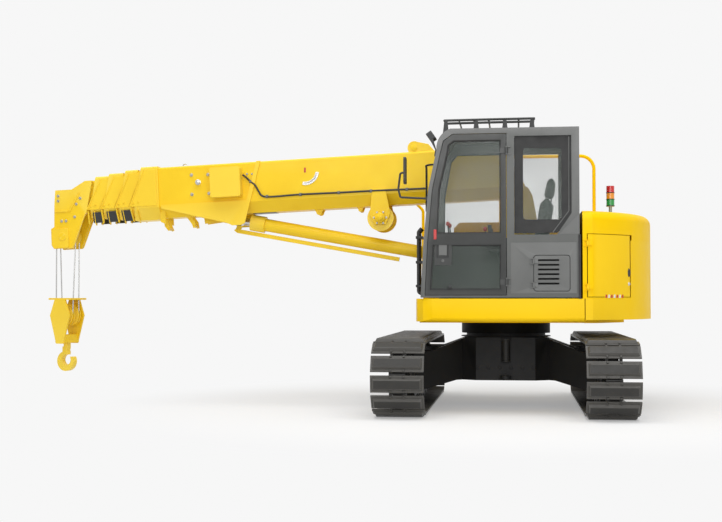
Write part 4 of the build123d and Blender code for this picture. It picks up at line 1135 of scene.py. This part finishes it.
# boom: bolts of the bracket and the box, and a bare plug
boomBolts = {
    "finish": "boltZinc", "body": "boom_base",
    "heads": (
        (27, ((3513, 438), (3330, 432), (3516, 226), (3327, 226))),
        (17, ((2899, 412), (2844, 409))),
    ),
}
boomBoltShape = newShape()
for head, spots in boomBolts["heads"]:
    for s, t in spots:
        addBolt(boomBoltShape, onBoomSide(s, t), outwards, head, s)
addPiece("boomBolts", boomBoltShape, boomBolts)
bracketPlug = {
    "finish": "brightSteel", "body": "boom_base", "place": (3443, 355), "sides": 24,
    "profile": [(0, 30), (4, 30), (6, 24), (34, 24), (36, 20), (37, 0)],
}
turnedPiece("bracketPlug", onBoomSide(*bracketPlug["place"]) + Vector((0, 0.001, 0)), bracketPlug)

# angle gauge: a bent tube on a curved plate, with plain ticks and a red marker
gaugeFace = {
    "finish": "brightSteel", "body": "boom_base", "bevel": 1, "centre": (2262, 402),
    "inner": 112, "outer": 148, "from": -4, "to": -102, "ticks": 15, "tube": 7, "thick": 0.007,
    "marker": ((-0.012, -0.012), (0.006, -0.012), (0.006, 0.040), (-0.012, 0.040)),
}
gaugeSpot = onBoomSide(*gaugeFace["centre"])
plateShape, scaleShape, tickShape, markShape = newShape(), newShape(), newShape(), newShape()


def gaugePoint(angle, radius, out):
    turn = math.radians(angle)
    return gaugeSpot + Vector((math.cos(turn) * radius / 1000, -out / 1000, math.sin(turn) * radius / 1000))


sweep = [gaugeFace["from"] + (gaugeFace["to"] - gaugeFace["from"]) * step / 24 for step in range(25)]
inner, outer = gaugeFace["inner"], gaugeFace["outer"]
addSlab(
    plateShape,
    [gaugePoint(angle, outer, -1) for angle in sweep]
    + [gaugePoint(angle, inner, -1) for angle in reversed(sweep)],
    (0, -gaugeFace["thick"], 0),
)
addTube(
    scaleShape, [gaugePoint(angle, (inner + outer) / 2 - 6, 8) for angle in sweep[1:-1:3]],
    gaugeFace["tube"], 12, 4,
)
tickStart, tickEnd = gaugeFace["from"] - 4, gaugeFace["to"] + 4
for number in range(gaugeFace["ticks"]):
    angle = tickStart + (tickEnd - tickStart) * number / (gaugeFace["ticks"] - 1)
    inside = outer - (12 if number % 5 else 17)
    addSlab(tickShape, [
        gaugePoint(angle - 0.5, inside, 5.6), gaugePoint(angle + 0.5, inside, 5.6),
        gaugePoint(angle + 0.5, outer - 3, 5.6), gaugePoint(angle - 0.5, outer - 3, 5.6),
    ], (0, -0.0008, 0))
addSlab(markShape, [gaugeSpot + Vector((x, 0.001, z)) for x, z in gaugeFace["marker"]], (0, -0.006, 0))
addPiece("gaugePlate", plateShape, gaugeFace)
addPiece("gaugeTube", scaleShape, {**gaugeFace, "finish": "clearLens", "bevel": 0})
addPiece("gaugeTicks", tickShape, {**gaugeFace, "finish": "blackPlastic", "smooth": False, "bevel": 0})
addPiece("gaugeMarker", markShape, {**gaugeFace, "finish": "lampRed"})

# winch hub and its bolts
winchHub = {
    "finish": "litBoomPaint", "body": "boom_base", "bolts": 6, "ring": 66, "head": 17,
    "profile": [(-1, 54), (8, 54), (12, 46), (20, 46), (24, 32), (36, 32), (40, 26), (40.5, 0)],
}
drumLow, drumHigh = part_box("winch_drum")
hubShape, hubBoltShape = newShape(), newShape()
hubX, hubZ = (drumLow[0] + drumHigh[0]) / 2, (drumLow[2] + drumHigh[2]) / 2
for side in (-1, 1):
    met = touch(Vector((hubX, 2.0 * side, hubZ)), (0, -side, 0))
    face = met[0] if met and abs(met[0].y) < 0.4 else Vector((hubX, 0.2 * side, hubZ))
    addTurned(hubShape, face, (0, side, 0), winchHub["profile"], 32)
    for number in range(winchHub["bolts"]):
        turn = 2 * math.pi * number / winchHub["bolts"]
        spot = face + Vector((math.cos(turn), 0, math.sin(turn))) * (winchHub["ring"] / 1000)
        met = touch(Vector((spot.x, 2.0 * side, spot.z)), (0, -side, 0))
        if met and abs(met[0].y) < 0.4:
            addBolt(hubBoltShape, met[0], (0, side, 0), winchHub["head"], turn)
addPiece("winchHubs", hubShape, winchHub)
addPiece("winchHubBolts", hubBoltShape, {**winchHub, "finish": "boltZinc"})

# rear lobe on top of the boom, and small lugs below it
lobeLook = {
    "finish": "litBoomPaint", "body": "boom_base", "bevel": 2.5, "centre": (1082, 584), "radius": 72,
    "y": 166, "boss": [(0, 34), (6, 34), (9, 28), (9.5, 0)], "lugs": ((2150, 64), (1700, 46)),
}
lobeShape = newShape()
lobeArc = arcPoints(lobeLook["centre"], lobeLook["radius"], range(-30, 121, 15))
lobeY = lobeLook["y"]
for side in (-1, 1):
    boomPlate(lobeShape, [(1150, 530)] + lobeArc + [(930, 616), (860, 530)], side * lobeY, side * 14)
    addTurned(
        lobeShape, onBoom(*lobeLook["centre"], side * (lobeY + 13)), (0, side, 0), lobeLook["boss"], 24,
    )
addTurned(lobeShape, onBoom(*lobeLook["centre"], -lobeY), (0, 1, 0), [(0, 22), (2 * lobeY, 22)], 20)
for s, size in lobeLook["lugs"]:
    ring = arcPoints((s, -34), size * 0.5, range(180, 361, 20))
    for y in (-84, 60):
        boomPlate(lobeShape, [(s - size * 0.8, -4)] + ring + [(s + size * 0.8, -4)], y, 12)
    addTurned(lobeShape, onBoom(s, -36, -92), (0, 1, 0), [(0, 9), (2, 11), (176, 11), (178, 9)], 14)
addPiece("boomLobe", lobeShape, lobeLook)

# post on the carbody's front, and its lower flange
carbodyPost = {
    "finish": "frameSteel", "body": "undercarriage", "low": 492, "away": 0.018,
    "profile": [(0, 50), (8, 50), (12, 44), (218, 44), (222, 50), (230, 50)],
}
postShape = newShape()
for side in (-1, 1):
    met = touch(at(4, 2300 * side, 600), (0, -side, 0))
    if met:
        base = Vector((met[0].x, met[0].y + side * carbodyPost["away"], carbodyPost["low"] / 1000))
        addTurned(postShape, base, (0, 0, 1), carbodyPost["profile"], 28)
if postShape["verts"]:
    addPiece("carbodyPosts", postShape, carbodyPost)

# chevron collars and fins on the boom's nested sections
collarLook = {
    "finish": "litBoomPaint", "bevel": 2, "thick": 8, "gap": 15, "nose": 168, "noseHeight": 128,
    "top": 519, "step": 22, "rib": (2, 16, 7), "fins": ((26, 12), (96, 8)),
    "head": 17, "bolts": ((118, 166), (60, 178)), "shadePadEnds": (12, 72),
    "bands": (("boom_base", 4052, 3905), ("boom_section_2", 4222, 4052), ("boom_section_3", 4398, 4222),
              ("boom_section_4", 4560, 4398)),
}


def makeCollar(row, body, front, rear, look):
    # the first collar is straight at the back, the ones on the inner sections are chevrons over black pads,
    # a painted shade on the lower slopes under them
    collarShape, finShape, shadePadShape = newShape(), newShape(), newShape()
    thick, tip, low = look["thick"], front + look["nose"], look["noseHeight"]
    top = look["top"] - look["step"] * row
    backTop = rear + look["gap"] if row else rear
    backLow = backTop + look["nose"] if row else backTop
    for side in (-1, 1):
        met = touch(onBoom((front + rear) / 2 + 60, 300, side * -boomLook["start"]), (0, -side, 0))
        face = abs(met[0].y) * 1000 if met else 210
        boomPlate(
            collarShape, [(front, top), (tip, low), (backLow, low), (backTop, top)],
            side * (face - 0.5), side * (thick + 0.5),
        )
        near, far, proud = look["rib"]
        boomPlate(
            collarShape, [(front - near, top), (tip - near, low), (tip - far, low), (front - far, top)],
            side * (face + thick - 0.5), side * proud,
        )
        for inset, long in look["fins"]:
            boomBar(finShape, [
                (face + 2, 118), (face + 2, 84), (124, -27), (104, -27), (96, 6), (face - 20, 118),
            ], side, tip - inset, long)
        for ahead, t in look["bolts"]:
            spot = onBoom(front + ahead, t, side * (face + thick))
            addBolt(finShape, spot, (0, side, 0), look["head"], front + ahead)
        # black pads on the lower slopes: a dark sheet for the shade under the collar
        if row:
            shadePadStart, shadePadEnd = rear + look["nose"] - look["shadePadEnds"][0], tip - look["shadePadEnds"][1]
            boomBar(
                shadePadShape, [(face - 2, 98), (face + 3, 90), (126, -18), (119, -18)],
                side, shadePadStart, shadePadEnd - shadePadStart,
            )
    if row:
        addPiece(
            "collarShadePads_" + body, shadePadShape, {**look, "body": body, "finish": "blackPlastic", "bevel": 1},
        )
    addPiece("collar_" + body, collarShape, {**look, "body": body, "smooth": False})
    addPiece("collarFins_" + body, finShape, {**look, "body": body, "bevel": 1})


for row, (body, front, rear) in enumerate(collarLook["bands"]):
    makeCollar(row, body, front, rear, collarLook)

# head: pin housing, stiffeners, pin caps and bolts
headLook = {
    "finish": "litBoomPaint", "body": "boom_tip", "bevel": 2.5, "y": 159.5, "head": 24, "pin": (5005, -150),
    "housing": [
        (4935, -75), (4950, -60), (5105, -60), (5126, -90), (5130, -236), (5106, -276), (4950, -276),
        (4935, -262),
    ],
    "stiffeners": (
        [(4788, 326), (4806, 326), (4925, 120), (4907, 120)],
        [(4742, 70), (4758, 70), (4902, -272), (4886, -272)],
        [(4925, 136), (5082, 136), (5082, 120), (4925, 120)],
    ),
    "bolts": ((5040, 300), (5042, 244), (5010, 20), (4960, 20), (4860, 60), (4836, 200), (4790, 262)),
}
headShape, headBoltShape = newShape(), newShape()
for side in (-1, 1):
    boomPlate(headShape, headLook["housing"], side * headLook["y"], side * 13.5)
    for outline in headLook["stiffeners"]:
        boomPlate(headShape, outline, side * headLook["y"], side * 10.5)
    addTurned(
        headShape, onBoom(*headLook["pin"], side * (headLook["y"] + 12.5)), (0, side, 0),
        [(0, 44), (5, 44), (8, 40), (8.5, 0)], 28,
    )
    for s, t in headLook["bolts"]:
        spot = onBoom(s, t, side * (headLook["y"] + 0.5))
        addBolt(headBoltShape, spot, (0, side, 0), headLook["head"], s)
addPiece("headPlates", headShape, headLook)
addPiece("headBolts", headBoltShape, {**headLook, "finish": "boltZinc", "bevel": 0})

# posts, hangers and a stop bracket below the boom
hangerLook = {
    "finish": "litBoomPaint", "body": "boom_base", "bevel": 2,
    "plates": (
        (148, 14, [(3831, 66), (3888, 66), (3888, -50), (3831, -77)]),
        (70, 12, [(3842, -4), (3880, -4), (3868, -96), (3830, -146), (3806, -138), (3822, -96)]),
        (70, 12, [(3566, -4), (3620, -4), (3566, -82), (3548, -130), (3520, -124), (3528, -60)]),
        (60, 10, [(3180, -6), (3430, -6), (3418, -92), (3196, -72)]),
    ),
    "pins": ((3826, -128), (3540, -112)),
}
hangerShape = newShape()
for side in (-1, 1):
    for y, thick, outline in hangerLook["plates"]:
        boomPlate(hangerShape, outline, side * y, side * thick)
for s, t in hangerLook["pins"]:
    addTurned(hangerShape, onBoom(s, t, -84), (0, 1, 0), [(0, 12), (2, 14), (166, 14), (168, 12)], 16)
addPiece("boomHangers", hangerShape, hangerLook)

# guard bar carried below the ram by its rod
guardLook = {
    "finish": "litBoomPaint", "body": "luff_rod", "bevel": 3, "low": -118.0, "half": 22, "long": 2219.9,
    "rear": 420,
}
guardShape = newShape()
long, low, half, rear = (guardLook[part] for part in ("long", "low", "half", "rear"))
ramPlate(guardShape, [
    (long + 20, low - 14), (long + 44, low + 2), (long + 24, low + half), (rear, low + half),
    (rear, low - half), (long, low - half),
], 20)
ramPlate(guardShape, [
    (long - 40, -56), (long + 20, -56), (long + 30, low + 4), (long - 20, low + 4),
], 16)
addPiece("ramGuardBar", guardShape, guardLook)

# hose along the side, held by clips all the way
sideHose = {
    "finish": "hoseRubber", "body": "boom_base", "radius": 10,
    "run": (
        (2944, 406, 20), (2905, 372, 14), (2862, 327, 12), (2815, 285, 12), (2776, 214, 12),
        (2738, 164, 12), (2640, 150, 12), (2325, 156, 12), (1940, 152, 12), (1561, 150, 12),
        (1240, 146, 12), (960, 142, 12),
    ),
    "clips": ((2862, 327), (2690, 156), (2325, 156), (1910, 152), (1561, 150), (1180, 145)),
}
hoseShape, clipShape = newShape(), newShape()
addTube(
    hoseShape, [onBoomSide(s, t) + Vector((0, -out / 1000, 0)) for s, t, out in sideHose["run"]],
    sideHose["radius"], 12, 8,
)
for s, t in sideHose["clips"]:
    spot = onBoomSide(s, t)
    x, z = onBoom(15, 0) - onBoom(0, 0), onBoom(0, 17) - onBoom(0, 0)
    # a plate on the side and a block over the hose
    for wide, high, sunk, thick in ((1.0, 1.0, 0.001, 0.004), (0.8, 0.62, -0.002, 0.024)):
        addSlab(clipShape, [
            spot + x * sx * wide + z * sz * high + Vector((0, sunk, 0))
            for sx, sz in ((-1, -1), (1, -1), (1, 1), (-1, 1))
        ], (0, -thick, 0))
addPiece("boomSideHose", hoseShape, sideHose)
addPiece("boomHoseClips", clipShape, {**sideHose, "finish": "panelGrey", "bevel": 1.5})

# ring lug on top, bare plate underneath
ringLug = {"finish": "brightSteel", "body": "boom_base", "s": 3636, "radius": 24, "bar": 6, "rise": 0.020}
met = touch(onBoom(ringLug["s"], 900, 0), onBoom(0, -1, 0) - onBoom(0, 0, 0))
lugShape = newShape()
lugMiddle = (met[0] if met else onBoom(ringLug["s"], 522)) + Vector((0, 0, ringLug["rise"]))
addTube(lugShape, [
    lugMiddle + Vector((math.cos(turn), 0, math.sin(turn))) * (ringLug["radius"] / 1000)
    for turn in (math.radians(-130 + 260 / 12 * step + 40) for step in range(13))
], ringLug["bar"], 10, 3)
addPiece("boomRingLug", lugShape, ringLug)
barePlate = {
    "finish": "lightGrey", "body": "boom_base", "bevel": 1.5, "s": (2625, 2880), "half": 82, "t": -6.2,
    "thick": 5,
}
plateShape = newShape()
(plateRear, plateFront), plateHalf = barePlate["s"], barePlate["half"]
addSlab(plateShape, [onBoom(s, barePlate["t"], y) for s, y in (
    (plateRear, -plateHalf), (plateFront, -plateHalf), (plateFront, plateHalf), (plateRear, plateHalf),
)], onBoom(0, -barePlate["thick"]) - onBoom(0, 0))
addPiece("boomBarePlate", plateShape, barePlate)
print("boom dressed")

# levers in the cab
cabLevers = {
    "finish": "blackPlastic", "body": "upper",
    "spots": ((-560, -960, 1700, 1876), (-560, -620, 1700, 1876), (-190, -1040, 1640, 1815)),
}
leverShape, knobShape = newShape(), newShape()
for x, y, low, high in cabLevers["spots"]:
    addTurned(
        leverShape, at(x, y, low), (0, 0, 1), [(0, 34), (12, 32), (22, 26), (34, 20), (46, 13), (60, 9)],
        20,
    )
    addTube(leverShape, [at(x, y, low + 50), at(x + 6, y, (low + high) / 2), at(x, y, high - 20)], 7, 10, 5)
    addTurned(
        knobShape, at(x, y, high - 24), (0, 0, 1),
        [(0, 9), (5, 15), (16, 20), (30, 20), (40, 14), (45, 5), (45.5, 0)], 20,
    )
addPiece("cabLevers", leverShape, cabLevers)
addPiece("cabLeverKnobs", knobShape, {**cabLevers, "finish": "lampRed"})

# driver's seat: padded pieces on a bellows
seatLook = {
    "finish": "seatCloth", "body": "upper", "middle": -760, "pressure": 4.0, "frames": 20, "dip": 0.006,
    "parts": {
        "seatCushion": {
            "outline": [
                (-62, 1590), (-82, 1545), (-60, 1512), (330, 1512), (372, 1560), (285, 1625), (240, 1598),
            ],
            "half": 214, "swell": 0.022, "channels": (-95, 95),
        },
        "seatBack": {
            "outline": [(300, 1650), (385, 1600), (458, 2060), (432, 2116), (402, 2124), (376, 2096)],
            "half": 210, "swell": 0.022, "channels": (-80, 80),
        },
        "seatHeadrest": {
            "outline": [(402, 2140), (422, 2130), (474, 2130), (490, 2294), (468, 2326), (438, 2318)],
            "half": 106, "swell": 0.014, "channels": (),
        },
    },
}


def makeCushion(name, part, look):
    shape = newShape()
    addSlab(
        shape, [at(x, look["middle"] + part["half"], z) for x, z in part["outline"]],
        (0, -2 * part["half"] / 1000, 0),
    )
    piece = addPiece(name, shape, {**look, "smooth": True})
    bpy.context.view_layer.objects.active = piece
    for other in bpy.context.selected_objects:
        other.select_set(False)
    piece.select_set(True)
    voxel = piece.modifiers.new("evenMesh", "REMESH")
    voxel.mode = "VOXEL"
    voxel.voxel_size = 0.006
    bpy.ops.object.modifier_apply(modifier=voxel.name)
    rest = [corner.co.copy() for corner in piece.data.vertices]
    cloth = piece.modifiers.new("swell", "CLOTH")
    cloth.settings.use_pressure = True
    cloth.settings.uniform_pressure_force = look["pressure"]
    cloth.settings.quality = 4
    cloth.settings.effector_weights.gravity = 0.0
    cloth.collision_settings.use_collision = False
    cloth.point_cache.frame_start = 1
    cloth.point_cache.frame_end = look["frames"]
    scene = bpy.context.scene
    for number in range(1, look["frames"] + 1):
        scene.frame_set(number)
    bpy.ops.object.modifier_apply(modifier=cloth.name)
    scene.frame_set(1)
    for corner, start in zip(piece.data.vertices, rest):
        move = corner.co - start
        if move.length > part["swell"]:
            corner.co = start + move.normalized() * part["swell"]
        y = (corner.co.y * 1000) - look["middle"]
        dip = sum(math.exp(-((y - channel) / 9) ** 2) for channel in part["channels"])
        face = Vector((0, 0, 1)) if name == "seatCushion" else Vector((-0.98, 0, 0.2))
        if dip > 0.01:
            corner.co -= face * look["dip"] * dip
    smooth = piece.modifiers.new("finer", "SUBSURF")
    smooth.levels = 1
    smooth.render_levels = 1
    piece.data.materials.clear()
    piece.data.materials.append(finishes[look["finish"]])
    for face in piece.data.polygons:
        face.use_smooth = True
    return piece


seatPieces = [makeCushion(name, part, seatLook) for name, part in seatLook["parts"].items()]
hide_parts("operator_seat")
seatBase = {
    "finish": "rubberSeal", "body": "upper", "folds": 7, "top": 1500, "middle": (130, -760),
    "half": (150, 140), "grow": 20,
}
baseShape = newShape()
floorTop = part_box("operator_seat")[0][2] * 1000
foldHeight = (seatBase["top"] - floorTop) / seatBase["folds"]
rings = []
for fold in range(seatBase["folds"] * 2 + 1):
    grow = 0 if fold % 2 else seatBase["grow"]
    (middleX, middleY), (halfX, halfY) = seatBase["middle"], seatBase["half"]
    rings.append([
        at(middleX + sx * (halfX + grow), middleY + sy * (halfY + grow), floorTop + fold * foldHeight / 2)
        for sx, sy in ((-1, -1), (1, -1), (1, 1), (-1, 1))
    ])
addRings(baseShape, rings)
addPiece("seatBellows", baseShape, {**seatBase, "smooth": False})
headrestPosts = {
    "finish": "blackPlastic", "body": "upper", "bevel": 4, "sides": (-710, -810),
    "run": ((452, 2070), (462, 2110), (466, 2150)),
}
postShape = newShape()
for y in headrestPosts["sides"]:
    addTube(postShape, [at(x, y, z) for x, z in headrestPosts["run"]], 6, 8, 3)
addPiece("headrestPosts", postShape, headrestPosts)
print("cab inside dressed")
